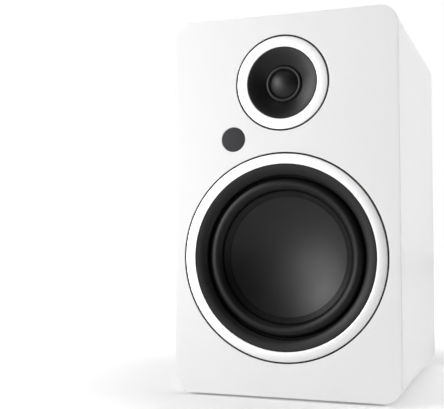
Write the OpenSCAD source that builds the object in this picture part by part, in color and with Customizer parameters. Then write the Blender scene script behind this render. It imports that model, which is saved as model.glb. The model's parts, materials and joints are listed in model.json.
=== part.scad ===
// Two-way active bookshelf speaker, in millimetres.
// The front faces -Y, +Z is up, and the origin is on the floor under the middle of the whole object.
// Depths are measured from the front face towards the back.

/* [Cabinet] */
// Width of the cabinet
cab_w = 180; // [176:1:240]
// Height of the cabinet without its feet
cab_h = 297; // [285:1:380]
// Depth of the cabinet from its front face to its back face
cab_d = 226; // [205:1:290]
// Thickness of the side, top and bottom panels
wall_t = 12; // [9:0.5:15]
// Radius of the four long edges of the cabinet
corner_r = 14; // [8:0.5:18]
// Thickness of the front baffle
baffle_t = 18; // [16:0.5:22]
// Thickness of the rear panel
rear_t = 12; // [9:0.5:15]
// Height of a rubber foot
foot_h = 1.6; // [1:0.1:6]
// Radius of a rubber foot
foot_r = 7; // [5:0.5:9]
// Distance of a foot's centre from the cabinet's sides
foot_inset = 28; // [26:1:34]
// Height of the middle of the inner brace above the cabinet's underside
brace_z = 188; // [180:1:198]
// Thickness of the inner brace
brace_t = 10; // [6:0.5:12]
// Thickness of the wadding pads
wadding_t = 12; // [6:0.5:14]

// Width of the fine shadow groove round the front edge
groove_w = 1.4; // [0.4:0.1:2]
// Distance of that groove behind the front face
groove_d = 1.2; // [1:0.1:2]

/* [Woofer] */
// Height of the woofer's centre above the cabinet's underside
woofer_up = 107.5; // [100:0.5:112]
// Outer radius of the woofer's trim ring
woofer_ring_r = 80.4; // [78:0.1:84]
// Visible width of the woofer's trim ring
woofer_ring_w = 7.8; // [6:0.1:9]
// Thickness of the woofer's trim ring
woofer_ring_t = 2.2; // [1.5:0.1:3]
// Radius at the middle of the surround's roll
roll_r = 57.3; // [56:0.1:58.5]
// Radius of the roll's half-round section
roll_size = 5.6; // [4:0.1:6]
// Depth of the surround's flat rims behind the front face
surround_d = 10.8; // [9:0.1:12]
// Depth of the cone's dish
dish_h = 15.2; // [11:0.1:17]
// Outer radius of the voice coil's former
former_r = 15.35; // [13:0.05:18]
// Outer radius of the woofer's magnet
magnet_r = 40; // [34:0.5:44]
// Thickness of the woofer's magnet
magnet_t = 15; // [10:0.5:20]
// Travel of the cone to each side of rest
woofer_travel = 5; // [2:0.5:6]
// Number of screws that hold the woofer
woofer_screws = 6; // [4:1:8]

/* [Tweeter] */
// Distance of the tweeter's centre below the cabinet's top
tweeter_down = 53.6; // [46:0.1:54]
// Outer radius of the tweeter's trim ring
tweeter_ring_r = 36.4; // [34:0.1:37]
// Visible width of the tweeter's trim ring
tweeter_ring_w = 8.2; // [6:0.1:9]
// Thickness of the tweeter's trim ring
tweeter_ring_t = 1.6; // [1:0.1:2]
// Radius of the waveguide's throat
throat_r = 14.6; // [14:0.1:16]
// Depth of the waveguide's throat behind the front face
throat_d = 6.2; // [5:0.1:8]
// Radius of the dome
dome_r = 11.2; // [10:0.1:12]
// Height of the dome
dome_h = 4.6; // [3:0.1:5]
// Outer radius of the tweeter's magnet
tweeter_magnet_r = 27; // [22:0.5:28]
// Travel of the dome to each side of rest
tweeter_travel = 0.4; // [0.2:0.1:0.5]
// Number of screws that hold the tweeter
tweeter_screws = 4; // [3:1:6]

/* [Sensor window] */
// Sideways place of the remote control window, from the cabinet's middle
sensor_x = -40; // [-50:0.5:-34]
// Height of the window above the woofer's centre
sensor_up = 93; // [90:0.5:96]
// Radius of the window
sensor_r = 9.7; // [6:0.1:10]

/* [Port] */
// Distance of the port's centre below the cabinet's top
port_down = 52; // [48:0.5:58]
// Inner radius of the port's tube
port_r = 20; // [15:0.5:23]
// Length of the port's tube
port_l = 118; // [80:1:130]
// Radius of the port's outer flange
port_flange_r = 35; // [32:0.5:37]

/* [Amplifier plate] */
// Width of the amplifier's plate
plate_w = 136; // [130:1:142]
// Height of the amplifier's plate
plate_h = 160; // [156:1:172]
// Thickness of the amplifier's plate
plate_t = 3; // [2:0.5:4]
// Height of the plate's lower edge above the cabinet's underside
plate_up = 24; // [18:1:28]
// Radius of the volume knob
knob_r = 10.5; // [8:0.5:13]
// How far the volume knob stands out of the plate
knob_reach = 16; // [13:0.5:19]
// Distance between the two binding posts
post_pitch = 19; // [17:0.5:22]
// How far the binding posts stand out of the plate
post_reach = 21; // [20:0.5:26]
// Radius of the hole for a banana plug
banana_r = 2.05; // [2:0.01:2.1]
// Outer radius of an RCA socket
rca_r = 4.15; // [4.1:0.01:4.2]
// How far an RCA socket stands out of the plate
rca_reach = 9.5; // [8:0.5:11]

/* [Fits] */
// Width of the dark gap round each trim ring, filled by a rubber gasket
gap_w = 1.3; // [0.8:0.1:1.6]
// Clearance between parts that are dropped into a recess
drop_fit = 0.1; // [0.05:0.05:0.3]
// Clearance between a shaft and its bore
run_fit = 0.05; // [0.02:0.01:0.1]
// Clearance round a part that passes through a hole
pass_fit = 0.3; // [0.2:0.05:0.6]

/* [Hidden] */
$fn = 96;
eps = 0.01;

// Overall places
front_y = -(cab_d + post_reach) / 2;
floor_gap = foot_h;
mid_z = floor_gap + cab_h / 2;
inner_w = cab_w - 2 * wall_t;
inner_h = cab_h - 2 * wall_t;
rear_in_d = cab_d - rear_t;
woofer_z = floor_gap + woofer_up;
tweeter_z = floor_gap + cab_h - tweeter_down;
sensor_z = woofer_z + sensor_up;
port_z = floor_gap + cab_h - port_down;
plate_z = floor_gap + plate_up + plate_h / 2;

// Woofer: recess, flange and seat
woofer_recess_r = woofer_ring_r + gap_w;
woofer_ring_in_r = woofer_ring_r - woofer_ring_w;
flange_t = 3;
seal_t = 0.8;
woofer_recess_d = woofer_ring_t + flange_t + seal_t;
step_out_r = woofer_ring_in_r + 0.4;
step_in_r = woofer_ring_in_r - 2;
baffle_hole_r = step_out_r + pass_fit;
seat_t = 3;
rubber_t = 0.8;
roll_out_r = roll_r + roll_size;
roll_in_r = roll_r - roll_size;
seat_in_r = roll_out_r - 0.8;
seat_d = surround_d;
cone_t = 1;
dish_r = roll_in_r;
// The dish is drawn in this many steps, and the surround's glued rim covers the last few
dish_steps = 24;
rim_steps = 2;
top_plate_t = 5;
former_t = 0.25;
winding_t = 0.7;
winding_l = top_plate_t + woofer_travel;
spider_d = 37;
spider_t = 0.6;
spider_r = 44;
spider_wave = 1.2;
spider_waves = 5;
motor_d = 46;
yoke_t = 5;
gap_clear = 0.6;
yoke_d = motor_d + top_plate_t + magnet_t;
pole_r = former_r - former_t - gap_clear;
former_end = motor_d + top_plate_t + woofer_travel + 1;
screw_r = 1.6;
screw_head_r = 3.2;
screw_l = 14;
pilot_fit = 0.05;
woofer_screw_pcr = (woofer_ring_in_r + woofer_ring_r) / 2 + 0.1;

// Tweeter
tweeter_recess_r = tweeter_ring_r + gap_w;
tweeter_ring_in_r = tweeter_ring_r - tweeter_ring_w;
face_t = 2.4;
tweeter_recess_d = tweeter_ring_t + face_t;
horn_lip = 0.5;
horn_t = 1.6;
tweeter_roll_r = (dome_r + throat_r) / 2;
tweeter_roll_size = (throat_r - dome_r) / 2 - 0.1;
dome_t = 0.35;
dome_base = throat_d + 0.3;
tweeter_motor_d = throat_d + 2;
tweeter_top_t = 3;
tweeter_magnet_t = 8;
tweeter_yoke_t = 4;
tweeter_hole_r = tweeter_magnet_r + 2;
tweeter_former_r = dome_r;
tweeter_screw_pcr = (tweeter_ring_in_r + tweeter_ring_r) / 2;
tweeter_screw_r = 1.2;
tweeter_head_r = 2.3;

// Amplifier plate: depths of its faces and of what stands behind it
plate_in_d = cab_d - plate_t;
board_gap = 11;
board_t = 1.6;
board_d = plate_in_d - board_gap;
board_w = plate_w - 24;
// Parts in a row on the power board, from its left edge
fuse_x = 6 - board_w / 2;
transformer_x = fuse_x + 22;
capacitor_x = transformer_x + 46;
board_h = 80;
board_z = plate_z + 32;
power_gap = 30;
power_board_d = plate_in_d - power_gap;
power_board_h = 54;
power_board_z = plate_z - 44;
stud_r = 2.5;
cutout_margin = 8;

// Places on the plate, sideways from its middle and up from its middle
knob_at = [42, 54];
button_at = [20, 54];
optical_at = [-2, 54];
hdmi_at = [-34, 54];
rca_at = [[44, 18], [28, 18], [6, 18]];
post_at = [32 - plate_w / 2, 18];
inlet_at = [38, -48];
rocker_at = [4, -48];

function arc(cx, cy, r, from, to, steps) =
    [for (i = [0:steps]) let (a = from + (to - from) * i / steps) [cx + r * cos(a), cy + r * sin(a)]];

// Depth of the dish's front at a radius
function dish_depth(r, h, rim) =
    let (s = (pow(rim, 2) + pow(h, 2)) / (2 * h)) h - s + sqrt(s * s - r * r);

// A point of the dish's front, as [radius, depth]
function dish_at(i) = let (r = dish_r * i / dish_steps)
    [r, surround_d + dish_depth(r, dish_h, dish_r)];

// Puts a solid that points along +Z on an axis that runs from front to back
module along_depth(x, z, depth = 0) {
    translate([x, front_y + depth, z]) rotate([-90, 0, 0]) children();
}

// Spins a profile of [radius, depth] points about an axis that runs from front to back
module turned(x, z) {
    along_depth(x, z) rotate_extrude() children();
}

// Extrudes an outline drawn in width and height, from one depth to another
module slab(from, to) {
    translate([0, front_y + to, 0]) rotate([90, 0, 0]) linear_extrude(to - from) children();
}

module rounded_rect(w, h, r) {
    square([w - 2 * r, h], center = true);
    square([w, h - 2 * r], center = true);
    for (x = [-1, 1], y = [-1, 1])
        translate([x * (w / 2 - r), y * (h / 2 - r)]) circle(r);
}

module round_the(count, radius) {
    for (i = [0:count - 1]) rotate(360 * (i + 0.5) / count) translate([radius, 0]) children();
}

// Closed tube swept along points, as one polyhedron
function unit(v) = v / norm(v);
function blend_point(a, b, c, d, t) =
    0.5 * ((2 * b) + (c - a) * t + (2 * a - 5 * b + 4 * c - d) * t * t
    + (3 * b - a - 3 * c + d) * t * t * t);
function smooth_path(p, steps) =
    [for (i = [0:len(p) - 2], k = [0:steps - 1])
        blend_point(p[max(i - 1, 0)], p[i], p[i + 1], p[min(i + 2, len(p) - 1)], k / steps),
     p[len(p) - 1]];
function tube_ring(at, along, r, sides) =
    let (u = unit(cross(along, [0.31, 0.17, 0.93])), v = cross(unit(along), u))
    [for (k = [0:sides - 1]) at + r * (cos(360 * k / sides) * u + sin(360 * k / sides) * v)];
module tube(points, r, steps = 5, sides = 8) {
    path = smooth_path(points, steps);
    last = len(path) - 1;
    end = len(points) - 1;
    // The end caps stand square to the first and last stretch of the chosen points
    rings = [for (i = [0:last]) tube_ring(path[i], i == 0 ? points[1] - points[0]
        : i == last ? points[end] - points[end - 1] : path[i + 1] - path[i - 1], r, sides)];
    corners = [for (ring = rings) each ring];
    walls = [for (i = [0:last - 1], k = [0:sides - 1])
        let (a = i * sides + k, b = i * sides + (k + 1) % sides) each
        [[a, a + sides, b], [b, a + sides, b + sides]]];
    start_cap = [for (k = [0:sides - 1]) k];
    end_cap = [for (k = [sides - 1:-1:0]) last * sides + k];
    polyhedron(corners, concat(walls, [start_cap], [end_cap]));
}

// ---------- Cabinet ----------

module cabinet_sleeve() {
    color("white") translate([0, 0, mid_z]) slab(baffle_t, cab_d)
        difference() {
            rounded_rect(cab_w, cab_h, corner_r);
            square([inner_w, inner_h], center = true);
        }
}

magnet_d = 2;
magnet_disc_r = 5;
magnet_disc_t = 3;
magnet_x = cab_w / 2 - 13;
magnet_edge = 13;

module at_grille_magnets() {
    for (x = [-magnet_x, magnet_x], z = [floor_gap + magnet_edge, floor_gap + cab_h - magnet_edge])
        along_depth(x, z, magnet_d) children();
}

sensor_hole_r = sensor_r + drop_fit;
sensor_window_t = 2;
sensor_pocket_r = sensor_r + 3;
sensor_pocket_d = 5;

groove_deep = 0.8;

module front_baffle() {
    color("white") difference() {
        translate([0, 0, mid_z]) slab(0, baffle_t) rounded_rect(cab_w, cab_h, corner_r);
        translate([0, 0, mid_z]) slab(groove_d, groove_d + groove_w) difference() {
            square([cab_w + 2, cab_h + 2], center = true);
            rounded_rect(cab_w - 2 * groove_deep, cab_h - 2 * groove_deep, corner_r - groove_deep);
        }
        along_depth(0, woofer_z, -eps) cylinder(h = woofer_recess_d + eps, r = woofer_recess_r);
        along_depth(0, woofer_z) cylinder(h = baffle_t + eps, r = baffle_hole_r);
        along_depth(0, tweeter_z, -eps) cylinder(h = tweeter_recess_d + eps, r = tweeter_recess_r);
        along_depth(0, tweeter_z) cylinder(h = baffle_t + eps, r = tweeter_hole_r);
        along_depth(sensor_x, sensor_z, -eps) cylinder(h = baffle_t + 2 * eps, r = sensor_hole_r);
        along_depth(sensor_x, sensor_z, sensor_pocket_d)
            cylinder(h = baffle_t, r = sensor_pocket_r);
        at_grille_magnets() cylinder(h = baffle_t, r = magnet_disc_r + drop_fit);
        along_depth(0, woofer_z) round_the(woofer_screws, woofer_screw_pcr)
            cylinder(h = woofer_ring_t + screw_l + 0.5, r = screw_r + pilot_fit);
        along_depth(0, tweeter_z) round_the(tweeter_screws, tweeter_screw_pcr)
            cylinder(h = tweeter_ring_t + screw_l + 0.5, r = tweeter_screw_r + pilot_fit);
    }
}

plate_corner_r = 6;
plate_recess_w = plate_w + 2 * drop_fit;
plate_recess_h = plate_h + 2 * drop_fit;
plate_screw_inset = 5;
plate_screw_r = 1.5;
plate_head_r = 3;
plate_screw_l = 10;
port_wall = 2;
port_flange_t = 2.5;
port_flare = port_flange_r - port_r - 3;

function plate_screw_places() =
    let (x = plate_w / 2 - plate_screw_inset, z = plate_h / 2 - plate_screw_inset)
    [for (i = [-1, 1], k = [-1, 0, 1]) [i * x, k * z], [0, z], [0, -z]];

module at_plate_screws() {
    for (p = plate_screw_places()) along_depth(p[0], plate_z + p[1], cab_d) mirror([0, 0, 1])
        children();
}

module rear_panel() {
    color("white") difference() {
        translate([0, 0, mid_z]) slab(rear_in_d, cab_d) square([inner_w, inner_h], center = true);
        translate([0, 0, plate_z]) slab(plate_in_d, cab_d + eps)
            rounded_rect(plate_recess_w, plate_recess_h, plate_corner_r + drop_fit);
        translate([0, 0, plate_z]) slab(rear_in_d - eps, cab_d)
            rounded_rect(plate_w - 2 * cutout_margin, plate_h - 2 * cutout_margin, 4);
        along_depth(0, port_z, rear_in_d - eps)
            cylinder(h = rear_t + 1, r = port_r + port_flare + pass_fit);
        along_depth(0, port_z, cab_d - port_flange_t)
            cylinder(h = port_flange_t + eps, r = port_flange_r + drop_fit);
        at_plate_screws() cylinder(h = plate_screw_l + 0.5, r = plate_screw_r + pilot_fit);
    }
}

brace_front = 40;
brace_back = 206;
brace_rim = 20;

module inner_brace() {
    color("burlywood") difference() {
        translate([-inner_w / 2, front_y + brace_front, floor_gap + brace_z - brace_t / 2])
            cube([inner_w, brace_back - brace_front, brace_t]);
        translate([0, front_y + (brace_front + brace_back) / 2, floor_gap + brace_z - brace_t])
            linear_extrude(2 * brace_t)
            rounded_rect(inner_w - 2 * brace_rim, brace_back - brace_front - 2 * brace_rim, 15);
    }
}

module rubber_feet() {
    color("dimgray") for (x = [-1, 1], d = [foot_inset, cab_d - foot_inset])
        translate([x * (cab_w / 2 - foot_inset), front_y + d, 0])
            cylinder(h = foot_h, r = foot_r);
}

module grille_magnets() {
    color("silver") at_grille_magnets() cylinder(h = magnet_disc_t, r = magnet_disc_r);
}

wadding_front = 66;
wadding_back = 178;
wadding_gap = 0.5;

module wadding_pads() {
    pad_l = wadding_back - wadding_front;
    side_low = floor_gap + wall_t + 12;
    side_top = floor_gap + brace_z - brace_t / 2 - 4;
    color("gainsboro") {
        for (x = [-inner_w / 2 + wadding_gap, inner_w / 2 - wadding_t - wadding_gap])
            translate([x, front_y + wadding_front, side_low])
                cube([wadding_t, pad_l, side_top - side_low]);
        translate([-inner_w / 2 + 8, front_y + wadding_front,
                floor_gap + cab_h - wall_t - wadding_t - wadding_gap])
            cube([inner_w - 16, pad_l, wadding_t]);
    }
}

// ---------- Trim rings and screws ----------

// A flat ring with softened front edges
module trim_ring(in_r, out_r, t) {
    c = 0.35;
    polygon([[in_r, c], [in_r + c, 0], [out_r - c, 0], [out_r, c], [out_r, t], [in_r, t]]);
}

module woofer_trim_ring() {
    color("silver") turned(0, woofer_z) trim_ring(woofer_ring_in_r, woofer_ring_r, woofer_ring_t);
}

module tweeter_trim_ring() {
    color("silver") turned(0, tweeter_z)
        trim_ring(tweeter_ring_in_r, tweeter_ring_r, tweeter_ring_t);
}

gasket_sunk = 0.5;

module trim_ring_gaskets() {
    color("black") {
        difference() {
            turned(0, woofer_z) polygon([[woofer_ring_r, gasket_sunk],
                [woofer_recess_r, gasket_sunk], [woofer_recess_r, woofer_recess_d],
                [baffle_hole_r, woofer_recess_d], [baffle_hole_r, woofer_recess_d - seal_t],
                [woofer_ring_r, woofer_recess_d - seal_t]]);
            along_depth(0, woofer_z) round_the(woofer_screws, woofer_screw_pcr)
                cylinder(h = 20, r = screw_r + pilot_fit);
        }
        turned(0, tweeter_z) translate([tweeter_ring_r, gasket_sunk])
            square([gap_w, tweeter_recess_d - gasket_sunk]);
    }
}

// A countersunk screw whose head's face is at height 0, with the point along +Z
module countersunk_screw(r, head_r, l) {
    slope = head_r - r;
    rotate_extrude()
        polygon([[0, 0.6], [head_r * 0.45, 0.6], [head_r * 0.45, 0], [head_r, 0], [r, slope],
            [r, l - 2 * r], [0, l]]);
}

module screws() {
    color("dimgray") {
        along_depth(0, woofer_z, woofer_ring_t) round_the(woofer_screws, woofer_screw_pcr)
            countersunk_screw(screw_r, screw_head_r, screw_l);
        along_depth(0, tweeter_z, tweeter_ring_t) round_the(tweeter_screws, tweeter_screw_pcr)
            countersunk_screw(tweeter_screw_r, tweeter_head_r, screw_l);
        at_plate_screws() countersunk_screw(plate_screw_r, plate_head_r, plate_screw_l);
    }
}

// Room for a countersunk screw, a little larger than the screw
module screw_room(r, head_r, l) {
    slope = head_r - r;
    rotate_extrude()
        polygon([[0, -eps], [head_r + pilot_fit, -eps], [head_r + pilot_fit, 0],
            [r + pilot_fit, slope], [r + pilot_fit, l], [0, l]]);
}

// ---------- Woofer ----------

shoulder_lip = 0.9;
shoulder_drop = 4.4;

// Rubber ring whose rounded shoulder leads from the trim ring down to the surround
module woofer_front_gasket() {
    in_r = roll_out_r + 0.8;
    out_r = woofer_ring_in_r - drop_fit;
    color("dimgray") turned(0, woofer_z) polygon(concat(
        [for (a = [90:-10:0]) [out_r - (out_r - in_r) * cos(a),
            shoulder_lip + shoulder_drop * (1 - sin(a))]],
        [[in_r, surround_d - rubber_t], [step_in_r - drop_fit, surround_d - rubber_t],
            [step_in_r - drop_fit, woofer_ring_t], [out_r, woofer_ring_t]]));
}

basket_spokes = 6;
spoke_w = 11;

module woofer_basket() {
    flange_out = woofer_ring_r - drop_fit;
    flange_end = woofer_ring_t + flange_t;
    seat_end = seat_d + seat_t;
    ledge_d = spider_d + spider_t;
    color("#303236") difference() {
        union() {
            turned(0, woofer_z) polygon([[step_in_r, woofer_ring_t], [flange_out, woofer_ring_t],
                [flange_out, flange_end], [step_out_r, flange_end], [step_out_r, seat_end],
                [seat_in_r, seat_end], [seat_in_r, seat_d], [step_in_r, seat_d]]);
            turned(0, woofer_z) translate([spider_r - 3, ledge_d]) square([6, 3]);
            turned(0, woofer_z) translate([22, motor_d - 3]) square([22, 3]);
            along_depth(0, woofer_z) for (i = [0:basket_spokes - 1])
                rotate([90, 0, 360 * i / basket_spokes]) translate([0, 0, -spoke_w / 2])
                    linear_extrude(spoke_w) polygon([[seat_in_r + 1, seat_end - 1],
                        [step_out_r - 0.5, seat_end - 1], [step_out_r - 1.5, seat_end + 3],
                        [spider_r + 3, ledge_d + 4], [spider_r, motor_d], [spider_r - 9, motor_d],
                        [spider_r - 2, ledge_d + 1.5], [spider_r + 1, ledge_d]]);
        }
        along_depth(0, woofer_z, woofer_ring_t) round_the(woofer_screws, woofer_screw_pcr)
            screw_room(screw_r, screw_head_r, 10);
    }
}

module woofer_surround() {
    t = rubber_t;
    d = surround_d;
    out = step_in_r - drop_fit;
    color("#1c1c1e") turned(0, woofer_z) polygon(concat(
        [[out, d], [out, d - t]],
        arc(roll_r, d - t, roll_size, 0, -180, 24),
        [dish_at(dish_steps - rim_steps) - [0, t]],
        [for (i = [dish_steps - rim_steps:dish_steps]) dish_at(i)],
        [[roll_in_r + t, d]],
        arc(roll_r, d, roll_size - t, -180, 0, 24)));
}

// The dish is a spherical cap, pressed in one piece
module woofer_cone() {
    front = [for (i = [0:dish_steps]) dish_at(i)];
    back = [for (i = [dish_steps:-1:0]) front[i] + [0, cone_t]];
    color("#26262a") turned(0, woofer_z) polygon(concat(front, back));
}

// Round waves between a collar on the former and a flat rim on the basket's ledge
module woofer_spider() {
    steps = 60;
    start = former_r + 2;
    run = spider_r - 4 - start;
    wave = concat([[former_r, spider_d]],
        [for (i = [0:steps]) let (s = i / steps)
            [start + run * s, spider_d - spider_wave * sin(360 * spider_waves * s)]],
        [[spider_r, spider_d]]);
    color("goldenrod") turned(0, woofer_z) polygon(concat(wave,
        [for (i = [len(wave) - 1:-1:0]) [wave[i][0], wave[i][1] + spider_t]]));
}

module woofer_coil_former() {
    start = surround_d + dish_depth(former_r - former_t, dish_h, dish_r) + cone_t;
    color("peru") turned(0, woofer_z) translate([former_r - former_t, start])
        square([former_t, former_end - start]);
}

module woofer_voice_coil() {
    color("chocolate") turned(0, woofer_z)
        translate([former_r, motor_d + (top_plate_t - winding_l) / 2])
        square([winding_t, winding_l]);
}

module woofer_top_plate() {
    color("lightsteelblue") turned(0, woofer_z)
        translate([former_r + winding_t + gap_clear, motor_d])
        square([magnet_r - 4 - former_r - winding_t - gap_clear, top_plate_t]);
}

module woofer_magnet() {
    in_r = former_r + winding_t + 6;
    color("#3a3a3c") turned(0, woofer_z) translate([in_r, motor_d + top_plate_t])
        square([magnet_r - in_r, magnet_t]);
}

module woofer_pole_yoke() {
    vent_r = 5;
    color("lightsteelblue") turned(0, woofer_z) polygon([[vent_r, motor_d - 1],
        [pole_r, motor_d - 1], [pole_r, yoke_d], [magnet_r - 4, yoke_d],
        [magnet_r - 4, yoke_d + yoke_t], [vent_r, yoke_d + yoke_t]]);
}

// The strip stands on the basket's upper side, between two spokes
strip_x = 7;
strip_z = 58;
strip_d = 24;

module woofer_terminal_strip() {
    color("darkkhaki") translate([0, front_y, woofer_z]) {
        translate([-12, strip_d, strip_z]) cube([24, 12, 2]);
        for (x = [-strip_x, strip_x])
            translate([x - 2.4, strip_d + 4, strip_z + 2]) cube([4.8, 14, 0.8]);
        // The foot stands on the ring round the spider
        translate([-4, spider_d + spider_t - 2, spider_r + 0.8])
            cube([8, 2, strip_z + 2 - spider_r - 0.8]);
    }
}

module woofer_tinsel_leads() {
    r = 0.7;
    back = surround_d + dish_depth(30, dish_h, dish_r) + cone_t + r;
    color("silver") for (x = [-strip_x, strip_x]) translate([x, front_y, woofer_z]) tube([
            [0, back, 30], [0, back + 4, 33], [0, back + 8, 40], [0, back + 7, 48],
            [0, strip_d + 3.5, strip_z - 3], [0, strip_d + 3.5, strip_z]
        ], r, 4);
}

// ---------- Tweeter ----------

// The horn widens faster towards its mouth
function horn_line(offset) =
    [for (i = [0:12]) let (s = i / 12)
        [throat_r + offset + (tweeter_ring_in_r - 0.1 - throat_r - offset) * s,
         throat_d + offset - (throat_d + offset - horn_lip) * (1 - pow(1 - s, 1.45))]];

module tweeter_waveguide() {
    out = tweeter_ring_r - drop_fit;
    back_d = tweeter_recess_d;
    color("#18181a") difference() {
        turned(0, tweeter_z) polygon(concat(
            horn_line(0),
            [[tweeter_ring_in_r - 0.1, tweeter_ring_t], [out, tweeter_ring_t], [out, back_d],
             [tweeter_magnet_r - 3, back_d], [tweeter_magnet_r - 3, tweeter_motor_d],
             [throat_r, tweeter_motor_d]]));
        along_depth(0, tweeter_z, tweeter_ring_t) round_the(tweeter_screws, tweeter_screw_pcr)
            screw_room(tweeter_screw_r, tweeter_head_r, 10);
    }
}

module tweeter_surround() {
    t = 0.3;
    d = dome_base;
    color("#141416") turned(0, tweeter_z) polygon(concat(
        [[throat_r - 0.05, d + t], [throat_r - 0.05, d]],
        arc(tweeter_roll_r, d, tweeter_roll_size, 0, -180, 14),
        [[dome_r + 0.05, d], [dome_r + 0.05, d + t], [tweeter_roll_r - tweeter_roll_size + t, d + t]],
        arc(tweeter_roll_r, d + t, tweeter_roll_size - t, -180, 0, 14)));
}

module tweeter_dome() {
    steps = 16;
    top = [for (i = [0:steps]) let (r = dome_r * i / steps)
        [r, dome_base - dish_depth(r, dome_h, dome_r)]];
    under = [for (i = [steps:-1:0]) [top[i][0], top[i][1] + dome_t]];
    color("#161618") turned(0, tweeter_z) polygon(concat(top, under));
}

module tweeter_voice_coil() {
    start = dome_base + dome_t;
    clear = tweeter_travel + 0.2;
    color("chocolate") turned(0, tweeter_z) polygon([
        [tweeter_former_r - 0.15, start + 0.05], [tweeter_former_r, start + 0.05],
        [tweeter_former_r, tweeter_motor_d + clear], [tweeter_former_r + 0.3, tweeter_motor_d + clear],
        [tweeter_former_r + 0.3, tweeter_motor_d + tweeter_top_t - clear],
        [tweeter_former_r - 0.15, tweeter_motor_d + tweeter_top_t - clear]]);
}

module tweeter_top_plate() {
    in_r = tweeter_former_r + 0.65;
    color("lightsteelblue") turned(0, tweeter_z) translate([in_r, tweeter_motor_d])
        square([tweeter_magnet_r - 3 - in_r, tweeter_top_t]);
}

module tweeter_magnet() {
    in_r = tweeter_former_r + 3;
    color("#3a3a3c") turned(0, tweeter_z) translate([in_r, tweeter_motor_d + tweeter_top_t])
        square([tweeter_magnet_r - in_r, tweeter_magnet_t]);
}

module tweeter_pole_yoke() {
    pole = tweeter_former_r - 0.5;
    d = tweeter_motor_d + tweeter_top_t + tweeter_magnet_t;
    color("lightsteelblue") turned(0, tweeter_z) polygon([[2.5, tweeter_motor_d - 0.2],
        [pole, tweeter_motor_d - 0.2], [pole, d], [tweeter_magnet_r - 3, d],
        [tweeter_magnet_r - 3, d + tweeter_yoke_t], [2.5, d + tweeter_yoke_t]]);
}

// ---------- Remote control window ----------

sensor_face_sunk = 0.2;
sensor_board_r = sensor_pocket_r - 0.4;

// A smoked lens with a rim that bears on the back of the hole
module sensor_window() {
    color("#48484a") turned(sensor_x, sensor_z) polygon([[0, sensor_face_sunk],
        [sensor_r, sensor_face_sunk], [sensor_r, sensor_pocket_d],
        [sensor_pocket_r - 0.5, sensor_pocket_d], [sensor_pocket_r - 0.5, sensor_pocket_d + 1.5],
        [sensor_r - 1.5, sensor_pocket_d + 1.5],
        [sensor_r - 1.5, sensor_face_sunk + sensor_window_t],
        [0, sensor_face_sunk + sensor_window_t]]);
}

// The small board with the infrared receiver and the status lamp
module sensor_board() {
    d = sensor_pocket_d + 1.5;
    color("darkgreen") {
        along_depth(sensor_x, sensor_z, d) cylinder(h = board_t, r = sensor_board_r);
        translate([sensor_x - 2.5, front_y + d - 3, sensor_z - 1]) cube([5, 3 + eps, 5]);
        along_depth(sensor_x, sensor_z - 4, d - 2.5) cylinder(h = 2.5 + eps, r = 1.5);
        translate([sensor_x - 4, front_y + d + board_t - eps, sensor_z - 3]) cube([8, 5, 6]);
    }
}

// ---------- Port ----------

module port_tube() {
    start = cab_d - port_l;
    flare = port_flare;
    end_flare = 5;
    color("#1a1a1c") turned(0, port_z) polygon(concat(
        [[port_flange_r, cab_d]],
        arc(port_r + flare, cab_d - flare, flare, 90, 180, 12),
        arc(port_r + end_flare, start + end_flare, end_flare, 180, 270, 6),
        arc(port_r + end_flare, start + end_flare, end_flare - port_wall, 270, 180, 6),
        arc(port_r + flare, cab_d - flare, flare - port_wall, 180, 100, 10),
        [[port_r + flare, cab_d - port_flange_t], [port_flange_r, cab_d - port_flange_t]]));
}

// ---------- Amplifier plate ----------

button_r = 3;
optical_box = 9.6;
hdmi_size = [15.4, 6.4];
rocker_body = [13, 21];
inlet_body = [21, 13];
stud_hole_r = 5.2;
bushing_r = 3.4;

module plate_outline() {
    difference() {
        rounded_rect(plate_w, plate_h, plate_corner_r);
        translate(knob_at) circle(bushing_r + 0.2);
        translate(button_at) circle(button_r + run_fit);
        translate(optical_at) square(optical_box + 0.2, center = true);
        translate(hdmi_at) square(hdmi_size + [0.3, 0.3], center = true);
        for (p = rca_at) translate(p) circle(rca_r + 0.1);
        for (s = [-1, 1]) translate(post_at + [s * post_pitch / 2, 0]) circle(stud_hole_r);
        translate(rocker_at) square(rocker_body + [0.2, 0.2], center = true);
        translate(inlet_at) square(inlet_body + [0.2, 0.2], center = true);
    }
}

module amplifier_plate() {
    color("#2c2c2e") difference() {
        translate([0, 0, plate_z]) slab(plate_in_d, cab_d) plate_outline();
        at_plate_screws() screw_room(plate_screw_r, plate_head_r, plate_screw_l);
    }
}

// Threaded spacers that hold the two boards behind the plate
module board_spacers() {
    spacer_x = board_w / 2 - 4;
    color("goldenrod") for (x = [-spacer_x, spacer_x], up = [-1, 1]) {
        along_depth(x, board_z + up * (board_h / 2 - 4), board_d)
            cylinder(h = board_gap, r = stud_r);
        along_depth(x, power_board_z + up * (power_board_h / 2 - 4), power_board_d)
            cylinder(h = power_gap, r = stud_r);
    }
}

switch_h = 3.5;

module main_board() {
    color("darkgreen") {
        translate([-board_w / 2, front_y + board_d - board_t, board_z - board_h / 2])
            cube([board_w, board_t, board_h]);
        // The tact switch under the pairing button
        translate([button_at[0] - 3, front_y + board_d - eps, plate_z + button_at[1] - 3])
            cube([6, switch_h, 6]);
        // Signal processor and wireless module, on the side away from the plate
        translate([-40, front_y + board_d - board_t - 1.4, board_z - 4]) cube([14, 1.4 + eps, 14]);
        translate([-44, front_y + board_d - board_t - 2.4, board_z + 18])
            cube([18, 2.4 + eps, 13]);
        // Plug for the wires to the drivers
        translate([board_w / 2 - 22, front_y + board_d - board_t - 8, board_z + 14])
            cube([16, 8 + eps, 7]);
    }
}

fin_count = 9;
sink_w = 52;
sink_h = 30;

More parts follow.
